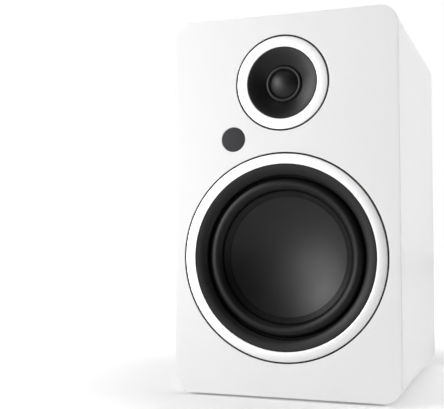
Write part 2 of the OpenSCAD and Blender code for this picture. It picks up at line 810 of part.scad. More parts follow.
module heat_sink() {
    base = 4;
    reach = 16;
    pitch = (sink_w - 2) / (fin_count - 1);
    color("gray") translate([-sink_w / 2 + 6, front_y + board_d - board_t - 3 - reach,
            board_z - board_h / 2 + 6]) {
        translate([0, reach - base, 0]) cube([sink_w, base + 3, sink_h]);
        for (i = [0:fin_count - 1]) translate([i * pitch, 0, 0]) cube([2, reach, sink_h]);
    }
}

module power_board() {
    color("darkgreen") {
        translate([-board_w / 2, front_y + power_board_d - board_t,
                power_board_z - power_board_h / 2])
            cube([board_w, board_t, power_board_h]);
        translate([fuse_x, front_y + power_board_d - board_t - 10, power_board_z - 14])
            cube([12, 10 + eps, 26]);
        translate([capacitor_x + 12, front_y + power_board_d - board_t - 8, power_board_z - 4])
            cube([16, 8 + eps, 7]);
    }
}

module power_transformer() {
    d = power_board_d - board_t;
    color("gold") translate([transformer_x, front_y + d, power_board_z - 14]) {
        translate([0, -24, 0]) cube([8, 24, 28]);
        translate([24, -24, 0]) cube([8, 24, 28]);
        translate([8, -18, 3]) cube([16, 14, 22]);
    }
}

module filter_capacitors() {
    color("#20242c") for (z = [-12, 8])
        along_depth(capacitor_x, power_board_z + z, power_board_d - board_t - 28)
            cylinder(h = 28, r = 8);
}

wire_r = 1.2;

// Two leads to the woofer's tabs, two to the tweeter and one to the sensor's board
module internal_wiring() {
    plug = [board_w / 2 - 18, front_y + board_d - board_t - 8, board_z + 17.5];
    tweeter_back = tweeter_motor_d + tweeter_top_t + tweeter_magnet_t + tweeter_yoke_t;
    color("firebrick") {
        for (s = [-1, 1]) tube([
                plug + [s * 1.6, 0, 0],
                plug + [s * 1.6, -12, 0],
                [30 + s * 1.6, front_y + 150, woofer_z + 74],
                [14 + s * 3, front_y + 90, woofer_z + 70],
                [s * strip_x, front_y + 58, woofer_z + strip_z + 6],
                [s * strip_x, front_y + strip_d + 24, woofer_z + strip_z + 2.4],
                [s * strip_x, front_y + strip_d + 18, woofer_z + strip_z + 2.4]
            ], wire_r, 5);
        for (s = [-1, 1]) tube([
                plug + [6.5 + s * 1.6, 0, 0],
                plug + [6.5 + s * 1.6, -14, 0],
                [44 + s * 1.6, front_y + 140, tweeter_z - 40],
                [38 + s * 1.6, front_y + 80, tweeter_z - 20],
                [24 + s * 1.6, front_y + 50, tweeter_z - 4],
                [16 + s * 1.6, front_y + tweeter_back + 6, tweeter_z],
                [16 + s * 1.6, front_y + tweeter_back, tweeter_z]
            ], wire_r, 5);
        tube([
            plug + [10.6, 0, 0],
            plug + [10.6, -8, 0],
            [48.6, front_y + 180, board_z + 24],
            [20, front_y + 110, tweeter_z - 50],
            [-26, front_y + 60, sensor_z + 4],
            [sensor_x, front_y + 30, sensor_z],
            [sensor_x, front_y + sensor_pocket_d + board_t + 12, sensor_z],
            [sensor_x, front_y + sensor_pocket_d + board_t + 6.5, sensor_z]
        ], 1.1, 5);
    }
}

// ---------- Volume control and pairing button ----------

shaft_r = 2.5;
shaft_reach = knob_reach - 3;
bushing_end = cab_d + 2;
encoder_body = 12;
cavity_d = board_d + 1;
cavity_r = 4.2;
push_travel = 0.5;

module at_knob(depth = 0) {
    along_depth(knob_at[0], plate_z + knob_at[1], depth) children();
}

module encoder_housing() {
    color("silver") difference() {
        union() {
            at_knob(board_d) translate([-encoder_body / 2, -encoder_body / 2, 0])
                cube([encoder_body, encoder_body, 7]);
            at_knob(board_d) cylinder(h = bushing_end - board_d, r = bushing_r);
        }
        at_knob(cavity_d) cylinder(h = 4.4, r = cavity_r);
        at_knob(cavity_d) cylinder(h = bushing_end - cavity_d + eps, r = shaft_r + run_fit);
    }
}

// The disc under the shaft that works the push contact; it doesn't turn
module encoder_plunger() {
    color("orange") at_knob(cavity_d + 1) cylinder(h = 1.4, r = cavity_r - run_fit);
}

module encoder_shaft() {
    color("lightgray") {
        at_knob(cavity_d + 2.45) cylinder(h = 1, r = cavity_r - 0.6);
        at_knob(cavity_d + 2.45) cylinder(h = cab_d + shaft_reach - cavity_d - 2.45, r = shaft_r);
    }
}

knob_gap = 1.2;
knob_grips = 24;

module volume_knob() {
    skirt = cab_d + knob_gap;
    end = cab_d + knob_reach;
    color("#2a2a2c") difference() {
        turned(knob_at[0], plate_z + knob_at[1]) polygon([[0, skirt], [knob_r, skirt],
            [knob_r, end - 1], [knob_r - 1, end], [0, end]]);
        at_knob(skirt - eps) cylinder(h = bushing_end - skirt + 1, r = bushing_r + 0.6);
        at_knob(skirt) cylinder(h = cab_d + shaft_reach - skirt, r = shaft_r);
        at_knob(skirt + 2) for (i = [0:knob_grips - 1]) rotate(360 * i / knob_grips)
            translate([knob_r + 0.25, 0, 0]) cylinder(h = end, r = 0.6, $fn = 24);
    }
}

button_reach = 1.4;
button_travel = 0.5;

module pairing_button() {
    x = button_at[0];
    z = plate_z + button_at[1];
    color("#3c3c40") {
        along_depth(x, z, board_d + switch_h + button_travel + 0.1)
            cylinder(h = cab_d + button_reach - board_d - switch_h - button_travel - 0.1,
                r = button_r);
        along_depth(x, z, plate_in_d - 1.8) cylinder(h = 1.6, r = button_r + 1.2);
    }
}

// ---------- Power switch ----------

rocker_tilt = 10;
rocker_hinge_d = cab_d - 0.5;
rocker_pin_r = 1.4;
rocker_w = 9;
rocker_h = 16;
bezel_t = 2;

module rocker_housing() {
    z = plate_z + rocker_at[1];
    color("#222224") difference() {
        union() {
            translate([rocker_at[0], 0, z]) slab(cab_d, cab_d + bezel_t)
                rounded_rect(rocker_body[0] + 3, rocker_body[1] + 3, 1.5);
            translate([rocker_at[0], 0, z]) slab(cab_d - 14, cab_d + eps)
                square(rocker_body, center = true);
            // Two solder tabs
            for (s = [-1, 1]) translate([rocker_at[0] - 2.4, front_y + cab_d - 20, z + s * 5])
                cube([4.8, 6 + eps, 0.8]);
        }
        translate([rocker_at[0], 0, z]) slab(cab_d - 6.5, cab_d + bezel_t + eps)
            square([rocker_w + 0.6, rocker_h + 2], center = true);
        translate([rocker_at[0] - rocker_w / 2 - 1.1, front_y + rocker_hinge_d, z])
            rotate([0, 90, 0]) cylinder(h = rocker_w + 2.2, r = rocker_pin_r + run_fit);
    }
}

// The lower end is pressed in at rest
module power_rocker() {
    half = rocker_h / 2;
    color("#18181a") translate([rocker_at[0], front_y + rocker_hinge_d, plate_z + rocker_at[1]])
        rotate([-rocker_tilt, 0, 0]) {
            rotate([90, 0, 90]) translate([0, 0, -rocker_w / 2]) linear_extrude(rocker_w)
                polygon([[-3, -half], [4.2, -half], [2.6, 0], [4.2, half], [-3, half]]);
            rotate([0, 90, 0]) translate([0, 0, -rocker_w / 2 - 0.9])
                cylinder(h = rocker_w + 1.8, r = rocker_pin_r);
        }
}

// ---------- Mains inlet ----------

inlet_pin_pitch = 8.6;
inlet_pin_r = 1.18;
inlet_recess = 12;
inlet_open = [8.4, 9];

// A figure-of-eight inlet: two round lobes with one pin in each
module mains_inlet() {
    z = plate_z + inlet_at[1];
    lobe_r = 4.6;
    color("#222224") {
        difference() {
            union() {
                translate([inlet_at[0], 0, z]) slab(cab_d, cab_d + bezel_t)
                    rounded_rect(inlet_body[0] + 5, inlet_body[1] + 4, 2);
                translate([inlet_at[0], 0, z]) slab(cab_d - 16, cab_d + eps)
                    square(inlet_body, center = true);
            }
            translate([inlet_at[0], 0, z]) slab(cab_d + bezel_t - inlet_recess, cab_d + bezel_t + eps)
            union() {
                square([inlet_pin_pitch, 2 * lobe_r - 1.4], center = true);
                for (s = [-1, 1]) translate([s * inlet_pin_pitch / 2, 0]) circle(lobe_r);
            }
        }
        for (s = [-1, 1])
            along_depth(inlet_at[0] + s * inlet_pin_pitch / 2, z, cab_d + bezel_t - inlet_recess - eps)
                cylinder(h = inlet_recess - 2, r = inlet_pin_r);
        for (s = [-1, 1]) translate([inlet_at[0] + s * 5 - 2, front_y + cab_d - 22, z - 0.4])
            cube([4, 6 + eps, 0.8]);
    }
}

// ---------- Signal sockets ----------

rca_wall = 0.75;
rca_hole_r = 1.6;

module rca_shells() {
    color("gold") for (p = rca_at) turned(p[0], plate_z + p[1])
        polygon([[rca_r - rca_wall, board_d], [rca_r, board_d], [rca_r, cab_d],
            [rca_r + 1.5, cab_d], [rca_r + 1.5, cab_d + 1.5], [rca_r, cab_d + 1.5],
            [rca_r, cab_d + rca_reach], [rca_r - rca_wall, cab_d + rca_reach]]);
}

module rca_inserts() {
    end = cab_d + rca_reach - 0.6;
    color("crimson") for (p = rca_at) turned(p[0], plate_z + p[1])
        polygon([[0, board_d + 2], [rca_r - rca_wall, board_d + 2], [rca_r - rca_wall, end],
            [rca_hole_r, end], [rca_hole_r, end - 9], [0, end - 9]]);
}

optical_in = 6.2;
flap_t = 0.9;
flap_pin_r = 0.45;
flap_hinge = [cab_d - 0.2, 2.4];

module optical_socket() {
    z = plate_z + optical_at[1];
    color("#202022") difference() {
        union() {
            translate([optical_at[0], 0, z]) slab(board_d, cab_d + 0.8)
                square(optical_box, center = true);
            translate([optical_at[0], 0, z]) slab(cab_d, cab_d + 0.8)
                rounded_rect(optical_box + 2.4, optical_box + 2.4, 1);
        }
        translate([optical_at[0], 0, z]) slab(cab_d - 8, cab_d + 0.8 + eps)
            square([optical_in, optical_in], center = true);
        translate([optical_at[0] - optical_in / 2 - 0.7, front_y + flap_hinge[0], z + flap_hinge[1]])
            rotate([0, 90, 0]) cylinder(h = optical_in + 1.4, r = flap_pin_r + run_fit, $fn = 48);
    }
}

module optical_shutter() {
    w = optical_in - 0.4;
    color("#38383a")
        translate([optical_at[0], front_y + flap_hinge[0], plate_z + optical_at[1] + flap_hinge[1]]) {
            translate([-w / 2, -flap_t / 2, -5.3]) cube([w, flap_t, 5.3]);
            rotate([0, 90, 0]) translate([0, 0, -optical_in / 2 - 0.6])
                cylinder(h = optical_in + 1.2, r = flap_pin_r, $fn = 48);
        }
}

// Outline with the two lower corners cut off
module hdmi_outline(inset) {
    x = hdmi_size[0] / 2 - inset;
    z = hdmi_size[1] / 2 - inset;
    cut = 2.2;
    polygon([[-x, z], [x, z], [x, cut - z], [x - cut, -z], [cut - x, -z], [-x, cut - z]]);
}

module hdmi_socket() {
    z = plate_z + hdmi_at[1];
    color("silver") translate([hdmi_at[0], 0, z]) {
        difference() {
            slab(board_d, cab_d + 0.6) hdmi_outline(0);
            slab(cab_d - 9, cab_d + 0.6 + eps) hdmi_outline(0.5);
        }
        slab(cab_d - 9 - eps, cab_d - 0.8) square([11, 1.2], center = true);
    }
}

// ---------- Binding posts ----------

stud_end = cab_d + post_reach - 0.6;
post_stud_r = 3;
base_r = 8;
base_t = 3;
washer_r = 6.4;
washer_t = 1.5;
cap_r = 7;
face_gap = 0.1;
cap_start = cab_d + base_t + washer_t + 2 * face_gap;
cap_flutes = 12;
cap_lip = 0.5;

module at_post(side, depth = 0) {
    along_depth(post_at[0] + side * post_pitch / 2, plate_z + post_at[1], depth) children();
}

module post_studs() {
    color("gold") for (s = [-1, 1]) difference() {
        at_post(s, board_d + 2) cylinder(h = stud_end - board_d - 2, r = post_stud_r);
        at_post(s, stud_end - 14) cylinder(h = 14 + eps, r = banana_r);
        // Cross hole for a bare wire
        at_post(s, cab_d + base_t + washer_t + 2) rotate([0, 90, 0])
            cylinder(h = 4 * post_stud_r, r = 1, center = true, $fn = 32);
    }
}

module post_bases() {
    color("#202022") for (s = [-1, 1]) difference() {
        union() {
            at_post(s, cab_d) cylinder(h = base_t, r = base_r);
            at_post(s, plate_in_d - 4) cylinder(h = plate_t + 4 + eps, r = stud_hole_r - drop_fit);
        }
        at_post(s, plate_in_d - 5) cylinder(h = 20, r = post_stud_r);
    }
}

module post_washer(side) {
    at_post(side, cab_d + base_t + face_gap) difference() {
        cylinder(h = washer_t, r = washer_r);
        translate([0, 0, -eps]) cylinder(h = washer_t + 2 * eps, r = post_stud_r + run_fit);
    }
}

module post_cap(side) {
    end = cab_d + post_reach;
    difference() {
        at_post(side, cap_start) cylinder(h = end - cap_start, r = cap_r);
        at_post(side, cap_start - eps)
            cylinder(h = end - cap_lip - cap_start + eps, r = post_stud_r + run_fit);
        at_post(side, cap_start) cylinder(h = post_reach, r = banana_r + 0.5);
        at_post(side, cap_start + 1.5) for (i = [0:cap_flutes - 1]) rotate(360 * i / cap_flutes)
            translate([cap_r + 0.4, 0, 0]) cylinder(h = post_reach, r = 1, $fn = 24);
    }
}

module red_post_washer() { color("gold") post_washer(1); }
module red_post_cap() { color("firebrick") post_cap(1); }
module black_post_washer() { color("gold") post_washer(-1); }
module black_post_cap() { color("#202022") post_cap(-1); }

cabinet_sleeve();
front_baffle();
rear_panel();
inner_brace();
rubber_feet();
grille_magnets();
wadding_pads();
woofer_trim_ring();
tweeter_trim_ring();
trim_ring_gaskets();
screws();
woofer_front_gasket();
woofer_basket();
woofer_surround();
woofer_cone();
woofer_spider();
woofer_coil_former();
woofer_voice_coil();
woofer_top_plate();
woofer_magnet();
woofer_pole_yoke();
woofer_terminal_strip();
woofer_tinsel_leads();
tweeter_waveguide();
tweeter_surround();
tweeter_dome();
tweeter_voice_coil();
tweeter_top_plate();
tweeter_magnet();
tweeter_pole_yoke();
sensor_window();
sensor_board();
port_tube();
amplifier_plate();
board_spacers();
main_board();
heat_sink();
power_board();
power_transformer();
filter_capacitors();
internal_wiring();
encoder_housing();
encoder_plunger();
encoder_shaft();
volume_knob();
pairing_button();
rocker_housing();
power_rocker();
mains_inlet();
rca_shells();
rca_inserts();
optical_socket();
optical_shutter();
hdmi_socket();
post_studs();
post_bases();
red_post_washer();
red_post_cap();
black_post_washer();
black_post_cap();
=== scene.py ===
# %% [markdown]
# # A bookshelf speaker, dressed
# The speaker's parts already stand in their places, as exact but plain solids. This lesson gives
# each of them the surface of the real thing. A wooden cabinet is sprayed white, two drivers sit
# in spun aluminium rings, and the back carries an amplifier plate with its knob and sockets.
# Every length below is in millimetres in the text of a shape, and in metres in the mesh.

# %% Load the frame of exact parts
import json
import math

import bmesh
import bpy
import numpy as np
from mathutils import Matrix, Vector
from mathutils.geometry import tessellate_polygon

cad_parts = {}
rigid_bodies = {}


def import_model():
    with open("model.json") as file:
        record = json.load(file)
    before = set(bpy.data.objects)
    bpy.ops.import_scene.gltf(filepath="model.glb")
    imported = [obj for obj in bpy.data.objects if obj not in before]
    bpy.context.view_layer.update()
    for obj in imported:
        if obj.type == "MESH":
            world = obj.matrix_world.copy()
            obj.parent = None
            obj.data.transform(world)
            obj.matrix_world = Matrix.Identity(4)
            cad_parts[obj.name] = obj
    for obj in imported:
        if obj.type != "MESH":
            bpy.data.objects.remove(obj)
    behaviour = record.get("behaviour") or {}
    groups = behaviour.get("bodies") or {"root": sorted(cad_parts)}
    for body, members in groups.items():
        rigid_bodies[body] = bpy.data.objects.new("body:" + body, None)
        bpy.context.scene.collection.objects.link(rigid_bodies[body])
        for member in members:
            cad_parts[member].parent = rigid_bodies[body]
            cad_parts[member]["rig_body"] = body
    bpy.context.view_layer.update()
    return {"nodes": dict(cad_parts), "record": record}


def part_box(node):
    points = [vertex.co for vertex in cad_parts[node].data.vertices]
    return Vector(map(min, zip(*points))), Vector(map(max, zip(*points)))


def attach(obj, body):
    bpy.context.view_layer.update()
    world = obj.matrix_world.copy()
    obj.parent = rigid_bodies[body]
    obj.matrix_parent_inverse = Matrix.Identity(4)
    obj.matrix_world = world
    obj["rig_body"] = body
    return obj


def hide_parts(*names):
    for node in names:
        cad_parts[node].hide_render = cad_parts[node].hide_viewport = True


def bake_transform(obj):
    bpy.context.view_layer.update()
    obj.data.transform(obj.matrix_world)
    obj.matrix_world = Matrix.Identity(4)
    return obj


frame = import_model()
MM = 0.001

# %% [markdown]
# ## Where things are
# The cabinet's front faces -Y. A cabinet maker measures depths from the front face, so `at_depth`
# turns such a depth into a place along Y. The centres of the round parts are read from the
# frame, so that every surface lands on the part that it dresses.

# %% Places read from the frame
front_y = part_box("front_baffle")[0].y
back_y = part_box("cabinet_sleeve")[1].y
WIDTH, BAFFLE, HEIGHT = (round(length / MM, 3) for length in
                         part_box("front_baffle")[1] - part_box("front_baffle")[0])
BACK = (back_y - front_y) / MM
GROOVE_START, GROOVE_END, GROOVE_DEEP = 1.2, 2.6, 0.8


def at_depth(depth):
    """Place along Y of a depth in mm: the front's own place plus the depth."""
    return front_y + np.asarray(depth, float) * MM


def centre_of(node):
    """Middle of a part's box, as (x, z) in metres: half of its lowest plus its highest corner."""
    low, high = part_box(node)
    return (low.x + high.x) / 2, (low.z + high.z) / 2


woofer = centre_of("woofer_trim_ring")
tweeter = centre_of("tweeter_trim_ring")
sensor = centre_of("sensor_window")
port = centre_of("port_tube")
cabinet = centre_of("cabinet_sleeve")
knob = centre_of("volume_knob")
plate = centre_of("amplifier_plate")
print("woofer", woofer, "tweeter", tweeter)
print("cabinet", WIDTH, "x", round(BACK, 2), "x", HEIGHT, "mm, baffle", BAFFLE)

# %% [markdown]
# ## The camera
# The speaker is looked at from the right and a little below its middle, so its right side shows
# as a narrow strip. A camera looks along its own -Z, so its turn is built from three directions:
# to its right, up, and against the view. A lens of about 68 mm keeps the perspective calm.

# %% Make the camera
YAW, PITCH, ROLL = np.radians([20.163, 2.594, -0.1435])
ASIDE, AWAY, EYE_HEIGHT = 0.17882, 0.62259, 0.12074
LENS, FILM_WIDTH = 67.82, 36.0
ahead = np.array([-math.sin(YAW) * math.cos(PITCH), math.cos(YAW) * math.cos(PITCH),
                  math.sin(PITCH)])
level = np.array([math.cos(YAW), math.sin(YAW), 0.0])
upward = np.cross(level, ahead)
right = math.cos(ROLL) * level + math.sin(ROLL) * upward
top = math.cos(ROLL) * upward - math.sin(ROLL) * level
camera_data = bpy.data.cameras.new("studio_camera")
camera_data.lens, camera_data.sensor_width = LENS, FILM_WIDTH
camera = bpy.data.objects.new("studio_camera", camera_data)
bpy.context.scene.collection.objects.link(camera)
turn = Matrix(np.column_stack([right, top, -ahead]).tolist())
camera.matrix_world = Matrix.Translation((ASIDE, front_y - AWAY, EYE_HEIGHT)) @ turn.to_4x4()
bpy.context.scene.camera = camera
print("camera at", tuple(round(c, 4) for c in camera.location))

# %% [markdown]
# ## The studio
# A white object on white needs soft light that still draws its edges. The key stands high at the
# left, in front, with a low box beneath it and a weaker front box behind it. They give the rings
# and the black rubber their sheen. A box at the right lights the side, one above whitens the
# floor, and two behind light the back. The world fills the shadows, and looks plain white to
# the camera.

# %% Lamps and world
scene = bpy.context.scene
scene.view_settings.view_transform = "Standard"


def soft_box(name, place, target, width, height, power):
    """A rectangular lamp at a place, turned so that its -Z looks at the target."""
    lamp = bpy.data.lights.new(name, "AREA")
    lamp.shape = "RECTANGLE"
    lamp.size, lamp.size_y, lamp.energy = width, height, power
    stand = bpy.data.objects.new(name, lamp)
    scene.collection.objects.link(stand)
    look = Vector(target) - Vector(place)
    aim = look.to_track_quat("-Z", "Y").to_matrix().to_4x4()
    stand.matrix_world = Matrix.Translation(place) @ aim


# place and target in metres, then width, height and watts
LAMPS = {
    "key_box": ((-1.14, -0.95, 0.8), (0.0, -0.05, 0.13), 0.8, 0.8, 13.4),
    "low_box": ((-0.95, -1.2, 0.22), (-0.05, -0.1, 0.05), 0.9, 0.4, 5.0),
    "front_box": ((-0.75, -2.0, 0.6), (0.0, -0.1, 0.15), 1.4, 1.4, 5.5),
    "side_box": ((1.7, 0.35, 0.55), (0.0, 0.0, 0.2), 1.2, 1.0, 20.0),
    "top_box": ((0.1, 0.1, 2.0), (0.0, 0.0, 0.0), 1.6, 1.6, 9.0),
    "rear_box": ((-0.5, 2.2, 0.8), (0.0, 0.1, 0.15), 1.1, 1.1, 9.0),
    "back_box": ((0.6, 2.4, 0.9), (0.1, 0.0, 0.15), 2.6, 1.8, 9.0)}
for name, settings in LAMPS.items():
    soft_box(name, *settings)

world = bpy.data.worlds.new("studio_white")
scene.world = world
world.use_nodes = True
world_nodes, world_links = world.node_tree.nodes, world.node_tree.links
fill, paper = world_nodes["Background"], world_nodes.new("ShaderNodeBackground")
for backdrop, strength in ((fill, 0.06), (paper, 1.0)):
    backdrop.inputs["Color"].default_value = (1.0, 1.0, 1.0, 1.0)
    backdrop.inputs["Strength"].default_value = strength
first_look = world_nodes.new("ShaderNodeLightPath")
choose = world_nodes.new("ShaderNodeMixShader")
world_links.new(first_look.outputs["Is Camera Ray"], choose.inputs[0])
world_links.new(fill.outputs[0], choose.inputs[1])
world_links.new(paper.outputs[0], choose.inputs[2])
world_links.new(choose.outputs[0], world_nodes["World Output"].inputs["Surface"])

# %% [markdown]
# ## Writing a finish as an expression
# A procedural finish is a small calculation: some noise times a depth, plus a base value. Nodes
# for it can be placed by hand, but it reads better as a line of Python. `Wire` wraps the output
# of a node, and its operators add Math nodes. `Finish` owns one material, and its `add` makes
# any other node from its type, its settings and the values of its sockets.

# %% Wires and finishes
def operator(name, swapped=False):
    """An operator of a wire, which adds the Math node of that name to the wire's finish."""
    def act(wire, other):
        return wire.finish.maths(name, *((other, wire) if swapped else (wire, other)))
    return act


class Wire:
    """The output of a node, for use in an expression."""

    def __init__(self, finish, socket):
        self.finish, self.socket = finish, socket

    __add__ = __radd__ = operator("ADD")
    __mul__ = __rmul__ = operator("MULTIPLY")
    __sub__, __rsub__ = operator("SUBTRACT"), operator("SUBTRACT", swapped=True)
    __gt__ = operator("GREATER_THAN")


class Finish:
    """One material. Constants go straight on the shader, and what varies is fed to it as a wire."""

    def __init__(self, name, colour, roughness, metallic=0.0, **constants):
        self.material = bpy.data.materials.new(name)
        self.material.use_nodes = True
        tree = self.material.node_tree
        self.nodes, self.links = tree.nodes, tree.links
        self.shader = self.nodes["Principled BSDF"]
        self.colour = (*colour, 1.0) if np.ndim(colour) else (colour, colour, colour, 1.0)
        self.feed("Base Color", self.colour)
        self.feed("Roughness", roughness)
        self.feed("Metallic", metallic)
        for key, value in constants.items():
            self.feed(key.replace("_", " "), value)
        self.material.diffuse_color = self.colour

    def plug(self, socket, value):
        """Link a wire to a socket, or write a plain value on it."""
        if isinstance(value, Wire):
            self.links.new(value.socket, socket)
        else:
            socket.default_value = value

    def feed(self, name, value):
        self.plug(self.shader.inputs[name], value)
        return self

    def add(self, kind, settings=None, inputs=None, output=0):
        """A node of any kind: its settings first, then its sockets, and one output as a wire."""
        node = self.nodes.new(kind)
        for key, value in (settings or {}).items():
            setattr(node, key, value)
        for key, value in (inputs or {}).items():
            self.plug(node.inputs[key], value)
        return Wire(self, node.outputs[output])

    def maths(self, operation, *values):
        """A Math node on numbers and wires, in the order of its sockets."""
        return self.add("ShaderNodeMath", {"operation": operation}, dict(enumerate(values)))

    def vector(self, operation, *values, output="Vector"):
        """A Vector Math node on vectors and wires, in the order of its sockets."""
        return self.add("ShaderNodeVectorMath", {"operation": operation}, dict(enumerate(values)),
                        output)

    def part(self, vector, axis):
        """One part of a vector, X, Y or Z, as a wire."""
        return self.add("ShaderNodeSeparateXYZ", None, {"Vector": vector}, output=axis)

    def place(self):
        """Object coordinates: metres in the frame, because every piece sits at the origin."""
        return self.add("ShaderNodeTexCoord", output="Object")

    def mapped(self, **changes):
        """Object coordinates times a Scale, or moved by a Location."""
        return self.add("ShaderNodeMapping", None, {"Vector": self.place(), **changes})

    def grain(self, size, detail=2.0, roughness=0.5, where=None):
        """Cloudy noise from 0 to 1 whose lumps are about `size` mm across."""
        return self.add("ShaderNodeTexNoise", None, {
            "Vector": where or self.place(), "Scale": 1.0 / (size * MM),
            "Detail": detail, "Roughness": roughness})

    def mix(self, share, first, second):
        """A colour between two others: first where the share is 0 and second where it is 1."""
        pair = [c if isinstance(c, Wire) or len(c) == 4 else (*c, 1.0) for c in (first, second)]
        return self.add("ShaderNodeMix", {"data_type": "RGBA"}, {0: share, 6: pair[0], 7: pair[1]},
                        output=2)

    def relief(self, height, depth):
        """A bump whose height of 0 to 1 stands for `depth` mm."""
        return self.add("ShaderNodeBump", None,
                        {"Height": height, "Distance": depth * MM, "Strength": 1.0})

    def shades(self, share, spread):
        """The base colour made darker and lighter: from 1 - spread to 1 + spread times it."""
        low = tuple(c * (1 - spread) for c in self.colour[:3])
        high = tuple(min(1.0, c * (1 + spread)) for c in self.colour[:3])
        return self.mix(share, low, high)


finishes = {}


def keep(name, finish):
    """Remember a finish under the name of the record's slot it belongs to."""
    finishes[name] = finish.material
    return finish


print("wires ready")

# %% [markdown]
# ## Sprayed lacquer
# The cabinet is sprayed with white satin lacquer and left unpolished. Sprayed paint is never
# quite flat: droplets flow together into a fine orange peel, about a millimetre across and a few
# thousandths of a millimetre high. Two sizes of noise as bump give that, and a third, larger
# one lets the gloss and the white drift by a percent or two. The groove behind the front edge
# gets no white: its inside is painted near black, a painted shade for the shadow in the groove.

# %% White lacquer
# Painted shade: the near-black inside the groove starts this far, in mm, from the groove's edges.
GROOVE_SHADE_INSET = 0.02


def sprayed(name, colour, roughness, peel=1.4, depth=0.004):
    """Lacquer: peel = noise of `peel` mm plus a third of one three times finer, as a bump."""
    paint = Finish(name, colour, roughness, Coat_Weight=0.18, Coat_Roughness=0.22)
    droplets = paint.grain(peel, 1.0) + 0.33 * paint.grain(peel / 3, 1.0)
    drift = paint.grain(60.0, 2.0)
    paint.feed("Normal", paint.relief(droplets, depth))
    paint.feed("Roughness", roughness - 0.03 + 0.06 * drift)
    # Painted shade: between these depths, inside the groove, the base colour is near black for the
    # shadow there.
    start, end = (float(at_depth(d)) for d in (GROOVE_START + GROOVE_SHADE_INSET, GROOVE_END - GROOVE_SHADE_INSET))
    depth_in = paint.part(paint.place(), "Y")
    groove_shade_mask = (depth_in > start) * (end - depth_in > 0.0)
    paint.feed("Base Color", paint.mix(groove_shade_mask, paint.shades(drift, 0.012), (0.02, 0.02, 0.02)))
    return paint


keep("white_lacquer", sprayed("satin_white_lacquer", 0.92, 0.38))
board = Finish("pressed_fibre_board", (0.40, 0.29, 0.18), 0.85)
fibres = board.grain(1.2, 6.0, 0.7)
board.feed("Base Color", board.shades(fibres, 0.35)).feed("Normal", board.relief(fibres, 0.08))
keep("raw_panel", board)
print("painted:", sorted(finishes))

# %% [markdown]
# ## Spun aluminium
# The trim rings are spun on a lathe under fine emery, so their grooves run round the ring. Such
# grooves tip the surface only inwards or outwards, never sideways. Light from one lamp then
# spreads along the radius, and the ring shines in two opposite sectors, like a bow tie. Bump
# alone is too coarse for grooves thinner than a hair, so the normal itself is tipped: normal =
# face normal + radius direction * (noise of the radius - 1/2) * tilt, made unit length again.

# %% Spun and brushed metal
def spun(name, centre, colour, roughness, tilt, groove=0.12):
    """Metal turned about the axis through `centre`: grooves of `groove` mm that run round it."""
    metal = Finish(name, colour, roughness, 1.0)
    from_axis = metal.mapped(Location=(-centre[0], 0.0, -centre[1]))
    flat = metal.vector("MULTIPLY", from_axis, (1.0, 0.0, 1.0))
    radius = metal.vector("LENGTH", flat, output="Value")
    outward = metal.vector("NORMALIZE", flat)
    round_it = metal.add("ShaderNodeCombineXYZ", None, {"X": radius})
    rings = metal.grain(groove, 3.0, 0.75, where=round_it)
    arcs = metal.grain(4.0, 2.0, 0.6)
    lean = metal.add("ShaderNodeVectorMath", {"operation": "SCALE"},
                     {0: outward, "Scale": (rings - 0.5) * tilt})
    face = metal.add("ShaderNodeNewGeometry", output="Normal")
    metal.feed("Normal", metal.vector("NORMALIZE", metal.vector("ADD", face, lean)))
    metal.feed("Roughness", roughness - 0.04 + 0.08 * arcs)
    metal.feed("Base Color", metal.shades(0.6 * rings + 0.4 * arcs, 0.05))
    return metal


def brushed(name, colour, roughness, along, groove=0.12, depth=0.006, spread=0.08):
    """Metal brushed along one axis: noise squeezed to `groove` mm across it, drawn out 60 times."""
    metal = Finish(name, colour, roughness, 1.0)
    fine = 1.0 / (groove * MM)
    scale = tuple(fine / 60 if axis == along else fine for axis in "XYZ")
    lines = metal.add("ShaderNodeTexNoise", None, {
        "Vector": metal.mapped(Scale=scale), "Scale": 1.0, "Detail": 3.0})
    metal.feed("Normal", metal.relief(lines, depth))
    metal.feed("Roughness", roughness - 0.06 + 0.12 * lines)
    metal.feed("Base Color", metal.shades(lines, spread))
    return metal


def plated(name, colour, roughness, cloud=3.0, depth=0.002, spread=0.06):
    """Plated or tumbled metal: soft clouds in gloss and colour, and a faint ripple."""
    metal = Finish(name, colour, roughness, 1.0)
    clouds = metal.grain(cloud, 3.0)
    metal.feed("Normal", metal.relief(metal.grain(cloud / 6, 2.0), depth))
    metal.feed("Roughness", roughness - 0.05 + 0.1 * clouds)
    metal.feed("Base Color", metal.shades(clouds, spread))
    return metal


ring_metal = {name: spun(f"spun_aluminium_{name}", centre, (0.93, 0.93, 0.935), 0.32, 0.55)
              for name, centre in (("woofer", woofer), ("tweeter", tweeter))}
keep("ring_aluminium", ring_metal["woofer"])
keep("sink_aluminium", brushed("extruded_aluminium", (0.72, 0.73, 0.74), 0.4, "Z"))
keep("shaft_metal", brushed("turned_shaft", (0.72, 0.72, 0.70), 0.28, "X", 0.1))
# name, colour and roughness, then the size of its clouds, its ripple and its spread
PLATED = {
    "screw_steel": ("blackened_steel", (0.28, 0.28, 0.29), 0.34, 1.0),
    "magnet_metal": ("nickelled_magnet", (0.62, 0.60, 0.56), 0.25),
    "basket_metal": ("painted_pressed_steel", (0.035, 0.036, 0.04), 0.5, 2.0, 0.01, 0.2),
    "motor_steel": ("zinc_plated_steel", (0.56, 0.57, 0.55), 0.33, 6.0, 0.004, 0.12),
    "copper": ("enamelled_copper", (0.72, 0.34, 0.15), 0.3, 0.5, 0.02, 0.15),
    "tinsel": ("tinsel_braid", (0.66, 0.62, 0.55), 0.38, 0.3, 0.04, 0.2),
    "socket_metal": ("nickel_plate", (0.70, 0.68, 0.64), 0.24, 1.0),
    "socket_gold": ("gold_plate", (0.86, 0.62, 0.27), 0.22, 1.2),
    "circuit_board": ("green_solder_mask", (0.02, 0.12, 0.05), 0.35)}
for slot, look in PLATED.items():
    keep(slot, plated(*look))
print("metals:", len(finishes))

